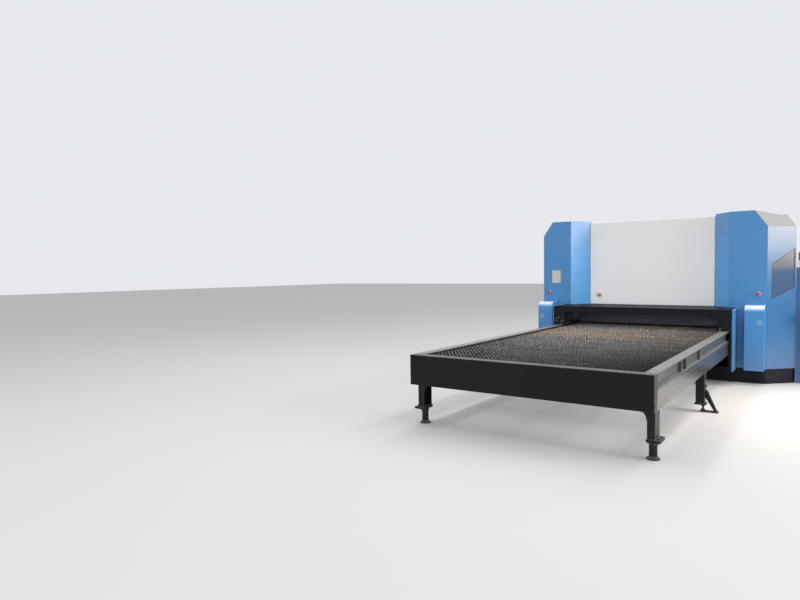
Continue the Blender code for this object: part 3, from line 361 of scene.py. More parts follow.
def worn_edge(look, reach):
    """A mask that is one along edges: there a rounded normal leaves the flat one."""
    soft = node(look.node_tree, "Bevel", samples=4)
    soft.inputs["Radius"].default_value = reach
    dot = node(look.node_tree, "VectorMath", operation="DOT_PRODUCT")
    join(soft.outputs["Normal"], dot.inputs[0])
    join(node(look.node_tree, "NewGeometry").outputs["True Normal"], dot.inputs[1])
    return cut(times(1.0, dot.outputs["Value"], "SUBTRACT"), 0.02, 0.25)


# %% [markdown]
# The cabin's powder coat has an even colour with a faint orange-peel skin, a little more dust low down, and
# a soft sheen. The blues and the whites share one recipe. A height mask lets the foot of a panel differ in
# tone from its head: the white panel's paler foot and darker head are painted light and painted shade that
# even out the lamps, and the corner panel's pale head is a painted reflection. Faces of the towers that
# look sideways are painted a paler blue, a painted side light, and the ledge tops carry a painted highlight.

# %% Powder coat for the cabin
def powder_coat(name, foot, head, rough=0.34, heights=(0.3, 2.4), dust_and_sheen=(0.42, 0.4, 0.37), dust_and_sheen_amount=0.25,
                painted_side_light=None):
    look, shader = start(name, foot, rough)
    tone = blend(by_height(look, *heights), foot, head)
    # Faces that look sideways are blended to a paler blue: painted side light for the broad lamp on the right.
    if painted_side_light:
        sideways = cut(times(axes(look, "Normal")[0], 0.0, "ABSOLUTE"), 0.45, 0.75, 0, 0.5)
        tone = blend(sideways, tone, blend(by_height(look, 1.75, 2.45), *painted_side_light))
    tone = blend(cut(cloud(look, 1.1, 2), 0.35, 0.65, 0, 0.015), tone, (0.75, 0.8, 0.85))
    # Upward faces take the upward colour: grey dust on most coats, and on the ledges a near-white blue that is
    # a painted highlight.
    dust_and_sheen_mask = cut(cloud(look, 9, 6), 0.35, 0.7, dust_and_sheen_amount * 0.5, dust_and_sheen_amount)
    tone = blend(times(facing_up(look, 0.2, 0.85), dust_and_sheen_mask), tone, dust_and_sheen)
    low_dirt = times(by_height(look, 0.65, 0.2, 0, 0.35), cloud(look, 6, 7, 0.7))
    join(blend(low_dirt, tone, (0.2, 0.19, 0.18)), shader.inputs["Base Color"])
    join(cut(cloud(look, 5, 4), 0.3, 0.7, rough - 0.03, rough + 0.05), shader.inputs["Roughness"])
    skin(shader, cloud(look, 380, 1), 0.015, 0.0002)
    return look


# The last pair is the paler blue painted on the towers' sideways faces, a painted side light, low and high.
blue = powder_coat("tower blue", (0.044, 0.205, 0.455), (0.048, 0.19, 0.415), 0.26,
                   painted_side_light=((0.1, 0.42, 0.85), (0.11, 0.27, 0.52)))
# The ledges' upward colour is a painted highlight of near-white blue at full strength on the rounded tops.
ledge_blue = powder_coat("ledge blue", (0.048, 0.2, 0.45), (0.055, 0.21, 0.46), 0.22,
                         dust_and_sheen=(0.8, 0.9, 0.96), dust_and_sheen_amount=1.0)
deep_blue = powder_coat("console blue", (0.02, 0.085, 0.25), (0.028, 0.1, 0.27))
# The corner panel's pale head is a painted reflection of the bright room, above its deep blue foot.
corner_blue_painted_glare = powder_coat("corner blue", (0.022, 0.118, 0.275), (0.15, 0.19, 0.255), 0.2, (1.35, 2.25))
# The white panel is paler at its foot and darker at its head: painted light and painted shade that even out the
# lamps.
white = powder_coat("panel white", (0.85, 0.832, 0.838), (0.66, 0.65, 0.655), 0.36, (0.9, 2.4))
wall_white = powder_coat("wall white", (0.5, 0.493, 0.497), (0.52, 0.513, 0.517), 0.4)
roof_white = powder_coat("roof white", (0.44, 0.436, 0.44), (0.44, 0.436, 0.44), 0.5, dust_and_sheen_amount=0.6)
roof_grey = powder_coat("corner roof grey", (0.25, 0.245, 0.245), (0.25, 0.245, 0.245), 0.5)
print("powder coats made")

# %% [markdown]
# The table wears workshop paint: nearly black and brushed on thick, so that it shines where it is seen at
# a low angle and mirrors the pale floor. It is greyed by metal dust on every upward face and rubbed
# through to bright steel along the edges that sheets slide over. The web of a side beam is duller than the
# box below it, and the side beams take a lighter, warmer black as painted light from the right. Inside the
# hood a pale veil is painted fill light where the lamps hardly reach; the gate and its rubber lip are
# lightened for the same reason, and chips show an older colour under the paint.

# %% Worn black paint for the table
def table_coat(name, colour, rough, gloss, wear, grime, specks, ripple=0.06, dull_web=0.0):
    """Brushed paint; wear is how far from an edge it is rubbed through, and how much."""
    look, shader = start(name, colour, rough)
    shader.inputs["Specular IOR Level"].default_value = gloss
    tone = blend(cut(cloud(look, 1.7, 5), 0.3, 0.7), colour, tuple(c * 1.25 for c in colour))
    rub = times(worn_edge(look, wear[0]), cut(cloud(look, 16, 8, 0.75), 0.36, 0.62, 0.15, 1))
    rub = times(rub, wear[1])
    dusty = times(facing_up(look, 0.5, 0.95), cut(cloud(look, 7, 7, 0.7), 0.3, 0.7, 0.35, 1))
    tone = blend(times(dusty, grime), tone, (0.36, 0.35, 0.34))
    spots = times(cut(cloud(look, 60, 1, 0.5), 0.8, 0.81), specks)
    tone = blend(spots, tone, (0.3, 0.3, 0.3))
    join(blend(rub, tone, (0.62, 0.62, 0.63)), shader.inputs["Base Color"])
    sheen = cut(cloud(look, 30, 5), 0.3, 0.7, rough - 0.06, rough + 0.1)
    if dull_web:
        sheen = times(sheen, by_height(look, 0.63, 0.66, 0, dull_web), "ADD")
    join(sheen, shader.inputs["Roughness"])
    join(times(rub, 0.6), shader.inputs["Metallic"])
    skin(shader, cloud(look, 40, 2), ripple, 0.0005)
    return look, tone


def chipped(coat, low, high, grain, stretch, colour, edge=(0.58, 0.62)):
    """Add chips, streaks or a painted lighter veil to a coat, inside a box of the machine; None leaves a side
    open.
    """
    look, tone = coat
    mask = cut(cloud(look, grain, 3, 0.6, stretch), *edge)
    for along, floor_at, top_at in zip(axes(look), low, high):
        if floor_at is not None:
            mask = times(mask, times(along, floor_at, "GREATER_THAN"))
            mask = times(mask, times(along, top_at, "LESS_THAN"))
    tone = blend(mask, tone, colour)
    join(tone, look.node_tree.nodes["Principled BSDF"].inputs["Base Color"])
    return look, tone


front_paint = table_coat("front black", (0.0085, 0.0095, 0.0105), 0.32, 0.1, (0.006, 0.85), 0.33, 0.25)[0]
# The side beams wear the same black as the front, lighter and warmer here: painted light from the lamp and the
# warm floor on the right.
lit_side_paint = table_coat("side black", (0.042, 0.04, 0.037), 0.2, 0.6, (0.008, 0.9), 0.55, 0.1, 0.02,
                        dull_web=0.16)[0]
leg_paint = table_coat("leg black", (0.0085, 0.009, 0.01), 0.36, 0.22, (0.005, 0.4), 0.35, 0.2)[0]
HOOD_BLACK = (0.012, 0.0128, 0.0165)
hood_low, hood_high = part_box("hood")
# Inside the hood the paint turns pale grey: painted fill light, since the lamps hardly reach in there.
painted_fill_low = hood_low + Vector((0.002, 0.025, 0))
painted_fill_high = hood_high - Vector((0.002, 0.012, 0.016))
hood_coat = table_coat("hood black", HOOD_BLACK, 0.5, 0.07, (0.003, 0.12), 0.0, 0.1)
hood_coat = chipped(hood_coat, painted_fill_low, painted_fill_high, 3, (1, 1, 1), (0.28, 0.275, 0.29), (0.15, 0.55))
hood_paint = chipped(hood_coat, (-1.8, None, 0.8), (-1.5, None, 0.9), 9, (1, 1, 7), (0.13, 0.125, 0.12))[0]
dark_steel = table_coat("inner black", HOOD_BLACK, 0.5, 0.1, (0.003, 0.12), 0.02, 0.1)[0]
# The gate's black is lightened to a dark grey far above the hood's: painted fill light for its place deep in
# the hood.
gate_coat = table_coat("gate black", (0.12, 0.12, 0.16), 0.45, 0.3, (0.004, 0.2), 0.05, 0.1)
gate_coat = chipped(gate_coat, (0.28, None, 0.8), (0.62, None, 0.845), 42, (0.5, 1, 1), (0.42, 0.1, 0.06))
gate_paint = chipped(gate_coat, (0.3, None, 0.81), (0.66, None, 0.85), 61, (0.6, 1, 1), (0.55, 0.52, 0.48))[0]
print("table paints made")

# %% [markdown]
# The bare metals are the rail that the rollers polish, the machined alloy of the carriage, zinc and brass
# for small parts, and the slats, which heat and splashing slag have turned grey-brown with rust and pale
# beads on every tooth.

# %% Bare metals
def bare_metal(name, colour, rough, grain, stretch):
    look, shader = start(name, colour, rough, 1.0)
    lines = cloud(look, grain, 6, 0.7, stretch)
    tone = blend(cut(lines, 0.3, 0.7), colour, tuple(c * 0.72 for c in colour))
    join(tone, shader.inputs["Base Color"])
    join(cut(lines, 0.3, 0.7, rough - 0.08, rough + 0.12), shader.inputs["Roughness"])
    skin(shader, lines, 0.15, 0.0004)
    return look


def scorched(name, top):
    """Burnt steel: nearly black below the teeth as painted shade in the gaps between the slats, dusty
    grey-brown teeth, and a rusty band where most cutting is done.
    """
    look, shader = start(name, (0.12, 0.1, 0.09), 0.6, 0.25)
    x, y, z = axes(look)
    dark_slat_tone = (0.03, 0.028, 0.03)
    tone = blend(cut(cloud(look, 4, 6), 0.35, 0.65), (0.13, 0.118, 0.116), (0.34, 0.315, 0.3))
    front = cut(times(y, times(x, 1.1), "SUBTRACT"), -3.7, -5.3, 0, 0.92)
    tone = blend(front, tone, (0.052, 0.047, 0.06))
    rust = times(cut(cloud(look, 9, 8, 0.75), 0.42, 0.6), cut(y, -3.4, -1.9, 0.05, 0.5))
    tone = blend(rust, tone, (0.34, 0.2, 0.11))
    band = times(cut(y, -2.5, -1.9), cut(y, -1.0, -1.7))
    band = times(band, cut(x, 0.3, -0.6, 0.3, 1.2))
    rusty = times(cut(cloud(look, 7, 5, 0.7), 0.44, 0.56, 0.15, 1), band)
    tone = blend(rusty, tone, (0.86, 0.54, 0.21))
    # The slats are made darker towards the right and towards the front.
    tone = blend(cut(x, -0.1, 0.8, 0, 0.35), tone, dark_slat_tone)
    tone = blend(cut(y, -3.4, -5.0, 0, 0.45), tone, dark_slat_tone)
    pale = times(cut(cloud(look, 120, 5, 0.75), 0.5, 0.6), cut(y, -5.0, -2.0, 0.55, 1.45))
    left = times(cut(x, 0.7, -0.9, 0.3, 0.95), cut(front, 0, 1, 1, 0.6))
    tone = blend(times(pale, left), tone, (0.86, 0.83, 0.8))
    beads = times(cut(cloud(look, 34, 2, 0.5), 0.57, 0.62), cut(y, -4.2, -1.6, 0.15, 1))
    tone = blend(times(beads, cut(x, 0.6, -0.4, 0.35, 0.9)), tone, (0.95, 0.93, 0.9))
    # Below the teeth the strips are painted nearly black: painted shade for the deep gaps between the slats.
    depth = cut(z, top - 0.03, top - 0.006)
    join(blend(depth, (0.007, 0.0065, 0.009), tone), shader.inputs["Base Color"])
    join(cut(cloud(look, 60, 4), 0.3, 0.7, 0.4, 0.75), shader.inputs["Roughness"])
    skin(shader, cloud(look, 220, 5, 0.7), 0.5, 0.002)
    return look


rail_steel = bare_metal("rail steel", (0.56, 0.56, 0.57), 0.34, 18, (30, 1, 30))
alloy = bare_metal("carriage alloy", (0.74, 0.75, 0.77), 0.32, 25, (1, 1, 14))
zinc = bare_metal("zinc plate", (0.62, 0.62, 0.6), 0.38, 60, (1, 1, 1))
brass = bare_metal("lock brass", (0.88, 0.71, 0.43), 0.45, 90, (1, 1, 1))
slat_steel = scorched("scorched slats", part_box("slat_grate")[1].z)
print("metals made")

# %% [markdown]
# The small parts need a few more finishes: glossy plastic for the stops and the lamp, dark glass for the
# windows, rubber for the seals, and a cream plate. Each gets a little unevenness of its own.

# %% Plastics, glass and rubber
def plastic(name, colour, rough):
    look, shader = start(name, colour, rough)
    smear = cut(cloud(look, 45, 5), 0.3, 0.7)
    join(blend(smear, colour, tuple(c * 0.86 for c in colour)), shader.inputs["Base Color"])
    join(cut(cloud(look, 80, 4), 0.3, 0.7, rough * 0.8, rough * 1.3), shader.inputs["Roughness"])
    skin(shader, cloud(look, 600, 2), 0.05, 0.0003)
    return look


def dark_pane(name, colour, rough):
    """Tinted pane: greyer above and a clean blue below."""
    look, shader = start(name, colour, rough)
    upper_grey = times(by_height(look, 1.62, 1.69), cut(cloud(look, 5, 3), 0.3, 0.7, 0.85, 1))
    join(blend(upper_grey, colour, (0.17, 0.165, 0.19)), shader.inputs["Base Color"])
    shader.inputs["Transmission Weight"].default_value = 0.15
    shader.inputs["IOR"].default_value = 1.5
    smears = cut(cloud(look, 6, 5, 0.65, (1, 1, 0.4)), 0.35, 0.75, rough, rough + 0.12)
    join(smears, shader.inputs["Roughness"])
    return look


red = plastic("stop red", (0.4, 0.022, 0.05), 0.34)
ring_white = plastic("stop ring", (0.5, 0.43, 0.43), 0.45)
lamp_white = plastic("lamp white", (0.74, 0.72, 0.69), 0.5)
cream = plastic("cream plate", (0.52, 0.51, 0.46), 0.45)
key_grey = plastic("key grey", (0.34, 0.35, 0.37), 0.5)
rubber = plastic("seal rubber", (0.016, 0.016, 0.017), 0.7)
# The lip's grey is far lighter than black rubber, like the gate: painted fill light for the shaded entry.
lip_rubber = plastic("lightened lip rubber", (0.12, 0.12, 0.14), 0.8)
pane = dark_pane("tinted pane", (0.045, 0.095, 0.19), 0.05)
screen = plastic("dark screen", (0.012, 0.016, 0.024), 0.12)
print("small finishes made")

# %% [markdown]
# The frame's solids have hard edges, and real folded sheet has a small radius at each fold that catches a
# line of light. A copy of each solid is merged, its flat faces are made whole again, and its sharp edges
# get a true bevel. The copy then stands for the solid, and the solid stays hidden underneath for touch.


def copy_solid(node_name, flat):
    """A frame node as a bmesh, merged, with the edges dissolved that turn by less than so many degrees."""
    bm = bmesh.new()
    bm.from_mesh(frame["nodes"][node_name].data)
    bmesh.ops.remove_doubles(bm, verts=bm.verts, dist=1e-5)
    bmesh.ops.dissolve_limit(bm, angle_limit=math.radians(flat), verts=bm.verts, edges=bm.edges)
    return bm


def soften(node_name, look, radius):
    """Replace a frame node with a copy that has rounded edges."""
    bm = copy_solid(node_name, 0.5)
    round_edges(bm, radius)
    piece = show(bm, node_name + "_dressed", frame["nodes"][node_name]["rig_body"], look)
    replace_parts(piece, node_name)


dress = [
    (front_paint, 0.003, "beam_front"),
    (lit_side_paint, 0.003, "side_beam_left side_beam_right"),
    (leg_paint, 0.0025, "leg_front_left leg_front_right cross_member_front cross_member_rear"),
    (leg_paint, 0.0015, "leg_mid_left leg_mid_right foot_front_left foot_front_right"),
    (leg_paint, 0.0025, "pallet_side_left pallet_side_right pallet_end_front pallet_end_rear"),
    (leg_paint, 0.0025, "pallet_cross_front pallet_cross_rear"),
    (rail_steel, 0.001, "guide_rail_left guide_rail_right"),
    (gate_paint, 0.002, "gate"),
    (dark_steel, 0.006, "plinth_left plinth_right plinth_rear plinth_front"),
    (roof_grey, 0.003, "bed_left bed_right"),
    (blue, 0.005, "tower_left tower_right"),
    (ledge_blue, 0.002, "tower_base_left tower_base_right"),
    (blue, 0.002, "door_right door_left"),
    (white, 0.01, "front_panel"),
    (wall_white, 0.002, "wall_left wall_right"),
    (roof_white, 0.002, "roof"),
    (corner_blue_painted_glare, 0.003, "corner_panel"),
    (roof_grey, 0.003, "corner_roof"),
    (deep_blue, 0.003, "console_body console_door"),
    (wall_white, 0.003, "gantry"),
    (alloy, 0.002, "carriage"),
    (dark_steel, 0.0015, "cutting_head"),
]
for look, radius, names in dress:
    for node_name in names.split():
        soften(node_name, look, radius)
print("dressed", len(triangles), "solids,", sum(triangles.values()), "triangles")

# %% [markdown]
# A sheet rests on slats, thin steel strips that stand on edge with a row of teeth on top. Heat eats the
# teeth, so the strips are made cheap and swapped often, and no two stand quite alike. One strip is a row
# of grid cells whose every second upper corner is pulled up into a tooth, thickened at the end. Copied
# along the pallet with a seeded lean and height, it costs little and never repeats by eye.

# %% Toothed slats
SLAT_PITCH, SLAT_T, SLAT_H, SLAT_SEAT = 0.068, 0.0035, 0.088, 0.0885
TOOTH_PITCH, TOOTH_H, COMB_T, COMB_DROP = 0.048, 0.034, 0.012, 0.05
grate_low, grate_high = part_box("slat_grate")
slat_half = (grate_high.x - grate_low.x) / 2 - 0.002
axis_x = (grate_high.x + grate_low.x) / 2
teeth = round(2 * slat_half / TOOTH_PITCH)


def toothed_strip(height):
    """One slat that stands on z 0 at y 0, with its teeth cut by lifting every second corner."""
    strip = bmesh.new()
    stand = Matrix(((2 * slat_half, 0, 0, 0), (0, 0, 1, 0), (0, height - TOOTH_H, 0, 0), (0, 0, 0, 1)))
    bmesh.ops.create_grid(strip, x_segments=2 * teeth, y_segments=1, size=0.5, matrix=stand)
    step = slat_half / teeth
    for corner in strip.verts:
        corner.co.z += (height - TOOTH_H) / 2
        if corner.co.z > 0.001 and round((corner.co.x + slat_half) / step) % 2:
            corner.co.z += TOOTH_H
    bmesh.ops.solidify(strip, geom=strip.faces, thickness=SLAT_T)
    bmesh.ops.recalc_face_normals(strip, faces=strip.faces)
    return strip


strip_mesh = settle(toothed_strip(SLAT_H), "slat")
dice = random.Random(7)
slats = bmesh.new()
slat_count = int((grate_high.y - grate_low.y - 0.05) / SLAT_PITCH) + 1
first_y = (grate_low.y + grate_high.y - (slat_count - 1) * SLAT_PITCH) / 2
for k in range(slat_count):
    before = len(slats.verts)
    slats.from_mesh(strip_mesh)
    slats.verts.ensure_lookup_table()
    lean = Matrix.Rotation(math.radians(dice.uniform(-3, 3)), 4, "X")
    slew = Matrix.Rotation(math.radians(dice.uniform(-0.12, 0.12)), 4, "Z")
    spot = (axis_x + dice.uniform(-0.001, 0.001), first_y + k * SLAT_PITCH, grate_high.z - SLAT_SEAT)
    drop = Matrix.Translation((0, 0, -dice.uniform(0, 0.004)))
    bmesh.ops.transform(slats, matrix=Matrix.Translation(spot) @ drop @ slew @ lean,
                        verts=slats.verts[before:])
bpy.data.meshes.remove(strip_mesh)
for k in (-1, 0, 1):
    x = axis_x + k * (slat_half - 0.03)
    add_bar(slats, (x - COMB_T / 2, grate_low.y, grate_low.z),
            (x + COMB_T / 2, grate_high.y, grate_high.z - COMB_DROP), 0.0015)
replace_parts(show(slats, "slats", "pallet", slat_steel), "slat_grate")
print(slat_count, "slats with", teeth, "teeth each,", triangles["slats"], "triangles")

# %% [markdown]
# The hood over the entry is a box of folded sheet, open at the front and at the back. It is built the way
# it would be bent: a lid, two sides, a lintel with its edge turned in, two jambs, and the channels that the
# gate slides in. Each is one bar with softened edges, and small screws hold the lid down.

# %% Entry hood
HOOD_SIDE, LID_T, LINTEL_H, JAMB_W, HOOD_BACK = 0.03, 0.017, 0.092, 0.178, 0.823
SHEET_AT, SHEET_END = 0.006, 0.024  # how deep the front sheets lie behind the hood's front edge
POST_W, LIP_IN, LIP_OUT = 0.111, 0.137, 0.105
SCREWS, SCREW_ROWS = 7, (0.035, HOOD_BACK - 0.5)
mid_x, half_x = (hood_low.x + hood_high.x) / 2, (hood_high.x - hood_low.x) / 2
front_y, rear_y, lid_z = hood_low.y, hood_low.y + HOOD_BACK, hood_high.z
sill_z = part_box("side_beam_left")[1].z - 0.039
hood = bmesh.new()
add_bar(hood, (mid_x - half_x, front_y, lid_z - LID_T), (mid_x + half_x, rear_y, lid_z), 0.004)
lintel_z = lid_z - LINTEL_H
add_bar(hood, (mid_x - half_x + 0.004, front_y + SHEET_AT, lintel_z),
        (mid_x + half_x - 0.004, front_y + SHEET_END, lid_z - 0.008), 0.0025)
add_bar(hood, (mid_x - half_x + JAMB_W, front_y + 0.01, lintel_z),
        (mid_x + half_x - JAMB_W, front_y + 0.05, lintel_z + 0.004), 0.0015)


def across(side, near, far):
    """The two X values of a stretch on one side of the hood's middle, low one first."""
    return sorted((mid_x + side * near, mid_x + side * far))


for side in (-1, 1):
    wall = across(side, half_x - HOOD_SIDE, half_x)
    add_bar(hood, (wall[0], front_y, hood_low.z), (wall[1], rear_y, lid_z - LID_T + 0.002), 0.003)
    jamb = across(side, half_x - 0.004 - JAMB_W, half_x - 0.004)
    add_bar(hood, (jamb[0], front_y + SHEET_AT, sill_z), (jamb[1], front_y + SHEET_END, lintel_z + 0.001),
            0.0025)
    post = across(side, half_x - POST_W, half_x - 0.002)
    add_bar(hood, (post[0], rear_y - 0.006, sill_z), (post[1], hood_high.y, lid_z - 0.002), 0.002)
    for y0, y1 in ((rear_y - 0.006, rear_y + 0.0035), (hood_high.y - 0.009, hood_high.y)):
        lip = across(side, half_x - LIP_IN, half_x - LIP_OUT)
        add_bar(hood, (lip[0], y0, sill_z), (lip[1], y1, lid_z - 0.002), 0.001)
    for k in range(SCREWS):
        x = mid_x + side * (0.09 + k * (half_x - 0.14) / (SCREWS - 1))
        for depth in SCREW_ROWS:
            add_turned(hood, RIVET, (x, front_y + depth, lid_z), UP, 8)
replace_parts(show(hood, "hood_folded", "machine", hood_paint), "hood")
print("hood:", triangles["hood_folded"], "triangles")

# %% [markdown]
# No light comes out under the closed gate, so a rubber lip must hang from it down to the slats. It is cut
# into short flaps, so that a warped sheet lifts only the flaps that it touches, and a thin steel bar with
# small screws clamps the flaps. Both ride on the gate and rise with it.

# %% Rubber lip under the gate
FLAP_W, FLAP_GAP, SLAT_CLEAR = 0.142, 0.0012, 0.0045
gate_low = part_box("gate")[0]
lip_ends = (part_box("side_beam_left")[1].x + 0.01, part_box("side_beam_right")[0].x - 0.01)
flaps = bmesh.new()
flap_count = round((lip_ends[1] - lip_ends[0]) / FLAP_W)
flap_step = (lip_ends[1] - lip_ends[0]) / flap_count
for k in range(flap_count):
    x = lip_ends[0] + k * flap_step
    add_bar(flaps, (x + FLAP_GAP / 2, gate_low.y + 0.006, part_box("slat_grate")[1].z + SLAT_CLEAR),
            (x + flap_step - FLAP_GAP / 2, gate_low.y + 0.01, gate_low.z + 0.001), 0.0008)
show(flaps, "gate_lip", "gate", lip_rubber)
clamp = bmesh.new()
add_bar(clamp, (lip_ends[0], gate_low.y + 0.003, gate_low.z - 0.009),
        (lip_ends[1], gate_low.y + 0.0065, gate_low.z + 0.001), 0.0008)
for k in range(flap_count):
    at = (lip_ends[0] + (k + 0.5) * flap_step, gate_low.y + 0.0032, gate_low.z - 0.0045)
    add_turned(clamp, RIVET, at, (0, -1, 0), 8)
show(clamp, "gate_lip_clamp", "gate", gate_paint)
print(flap_count, "flaps under the gate")

# %% [markdown]
# The panes keep their own solids. Only their material slots change, because their shape is already right.

# %% Panes
for node_name, look in (("corner_glass", pane), ("door_right_glass", pane), ("console_screen", screen)):
    for slot in frame["nodes"][node_name].material_slots:
        slot.material = look
print("panes finished")

# %% [markdown]
# The left tower carries a small bare notice plate. It is a thin pressed sheet: a bar whose front face is
# inset once for the rim and pushed in for the field, held by four rivets. The same two moves make other
# panels, so they get a name.

# %% Notice plate on the tower
def sink_face(bm, looks, rim, depth):
    """Keep a rim on the largest face that looks along a direction, and sink the field inside it."""
    field = max((f for f in bm.faces if f.normal.dot(Vector(looks)) > 0.99), key=lambda f: f.calc_area())
    bmesh.ops.inset_region(bm, faces=[field], thickness=rim, use_even_offset=True)
    bmesh.ops.inset_region(bm, faces=[field], thickness=abs(depth), depth=-depth, use_even_offset=True)


PLATE_W, PLATE_FOOT, PLATE_HEAD = 0.15, 1.456, 1.67
tower_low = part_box("tower_left")[0]
plate_x = tower_low.x + 0.155
plate = bmesh.new()
add_bar(plate, (plate_x, tower_low.y - 0.004, PLATE_FOOT),
        (plate_x + PLATE_W, tower_low.y + 0.001, PLATE_HEAD))
plate.normal_update()
sink_face(plate, (0, -1, 0), 0.007, 0.0014)
for x in (plate_x + 0.01, plate_x + PLATE_W - 0.01):
    for z in (PLATE_FOOT + 0.01, PLATE_HEAD - 0.01):
        add_turned(plate, RIVET, (x, tower_low.y - 0.0038, z), (0, -1, 0), 10)
show(plate, "notice_plate", "machine", cream)
print("notice plate:", triangles["notice_plate"], "triangles")

# %% [markdown]
# Each tower has an emergency stop: a pale ring screwed to the sheet and a red mushroom that is pressed in.
# The ring's turned profile is a closed loop, so that the hole stays open for the stem, and the mushroom's
# rises from the axis and comes back to it.

# %% Emergency stops and the lock
RING = [(0.0125, 0), (0.03, 0), (0.03, 0.01), (0.0285, 0.015), (0.025, 0.0175), (0.0145, 0.018),
        (0.0125, 0.0165), (0.0125, 0)]
MUSHROOM = [(0, 0.009), (0.0115, 0.009), (0.0115, 0.024), (0.018, 0.0255), (0.0225, 0.0285),
            (0.0242, 0.0335), (0.0236, 0.0385), (0.02, 0.044), (0.0125, 0.0477), (0, 0.049)]
for word in ("left", "right"):
    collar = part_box("estop_collar_" + word)
    seat = middle(collar)
    seat.y = collar[1].y
    for stem, profile, body, look, slot in (
            ("estop_collar_", RING, "machine", ring_white, "stop_collar"),
            ("estop_", MUSHROOM, "stop_" + word, red, "stop_red")):
        part = bmesh.new()
        add_turned(part, profile, seat, (0, -1, 0), 40)
        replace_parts(show(part, stem + word + "_turned", body, look), stem + word)

lock_low, lock_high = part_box("panel_lock")
lock_at = middle((lock_low, lock_high))
depth = lock_high.y - lock_low.y
LOCK = [(0, 0), (0.037, 0), (0.038, 0.002), (0.038, depth * 0.55), (0.036, depth * 0.66),
        (0.0305, depth * 0.7), (0.0295, depth * 0.86), (0.027, depth * 0.93), (0.012, depth), (0, depth)]
lock = bmesh.new()
add_turned(lock, LOCK, (lock_at.x, lock_high.y, lock_at.z), (0, -1, 0), 48)
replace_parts(show(lock, "panel_lock_turned", "machine", brass), "panel_lock")
slit = bmesh.new()
add_bar(slit, (lock_at.x - 0.0022, lock_low.y - 0.0006, lock_at.z - 0.011),
        (lock_at.x + 0.0022, lock_low.y + 0.003, lock_at.z + 0.011), 0.0008)
show(slit, "lock_slit", "machine", rubber)
print("stops and lock turned")

# %% [markdown]
# Every pane sits in a rubber seal. The seal follows the pane's own outline, whatever its shape: the outer
# face of the pane is copied, inset to leave a ring, and the ring is pulled out into a solid strip with
# soft corners. One tool makes the seal of the cabin window, of the door window and of the screen.

# %% Window seals
def seal_round(name, pane_node, body, width, proud):
    """A rubber strip along the border of a pane, standing proud of it."""
    strip = copy_solid(pane_node, 1)
    outer = max(strip.faces, key=lambda f: f.calc_area() * f.normal.dot(Vector((1, -1, 0))))
    outward = outer.normal.copy()
    bmesh.ops.delete(strip, geom=[f for f in strip.faces if f is not outer], context="FACES")
    outer = strip.faces[:][0]
    ring = bmesh.ops.inset_individual(strip, faces=[outer], thickness=width, use_even_offset=True)["faces"]
    bmesh.ops.delete(strip, geom=[f for f in strip.faces if f not in ring], context="FACES")
    grown = bmesh.ops.extrude_face_region(strip, geom=strip.faces[:], use_keep_orig=True)["geom"]
    lifted = [g for g in grown if isinstance(g, bmesh.types.BMVert)]
    bmesh.ops.translate(strip, verts=lifted, vec=outward * proud)
    bmesh.ops.recalc_face_normals(strip, faces=strip.faces)
    round_edges(strip, min(width, proud) * 0.3)
    show(strip, name, body, rubber)


seal_round("cabin_window_seal", "corner_glass", "machine", 0.006, 0.003)
seal_round("door_window_seal", "door_right_glass", "sliding_door", 0.02, 0.01)
seal_round("screen_bezel", "console_screen", "machine", 0.016, 0.009)
print("seals:", [(n, t) for n, t in triangles.items() if "seal" in n or "bezel" in n])

# %% [markdown]
# The pallet runs on four steel wheels. A rail wheel is turned from bar: a flat tread with broken corners, a
# face that is hollowed to save weight, and a hub that carries the bearing on the stub of the axle.

# %% Pallet wheels
WHEEL = [(0, 0), (0.015, 0), (0.017, 0.002), (0.019, 0.006), (0.034, 0.007), (0.038, 0.002), (0.046, 0.001),
         (0.05, 0.004), (0.05, 0.036), (0.047, 0.039), (0.04, 0.04), (0.036, 0.034), (0.025, 0.034),
         (0.022, 0.04), (0.0165, 0.0415), (0.016, 0.048), (0.014, 0.05), (0, 0.05)]
for node_name in ("wheel_front_left", "wheel_front_right", "wheel_rear_left", "wheel_rear_right"):
    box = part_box(node_name)
    hub = middle(box)
    outward = 1 if node_name.endswith("right") else -1
    hub.x = box[0].x if outward > 0 else box[1].x
    wheel = bmesh.new()
    add_turned(wheel, WHEEL, hub, (outward, 0, 0), 40)
    body = frame["nodes"][node_name]["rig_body"]
    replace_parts(show(wheel, node_name + "_turned", body, rail_steel), node_name)
print("four wheels of", triangles["wheel_front_left_turned"], "triangles")

# %% [markdown]
# The table stands on bolted feet. A heavy nut under each base plate sets the height, two bolts pass the
# plate beside the leg, and every joint of leg and gusset is welded. A weld is a row of small overlapping
# drops: icospheres of twenty faces, laid less than a drop apart, with a seeded size.

# %% Feet, nuts and welds
def add_weld(bm, start_at, end_at, radius, dice):
    """A row of overlapping drops between two points."""
    start_at, end_at = Vector(start_at), Vector(end_at)
    count = max(2, int((end_at - start_at).length / (radius * 1.3)))
    for k in range(count + 1):
        at = start_at.lerp(end_at, k / count)
        size = radius * dice.uniform(0.85, 1.15)
        bmesh.ops.create_icosphere(bm, subdivisions=1, radius=size, matrix=Matrix.Translation(at))


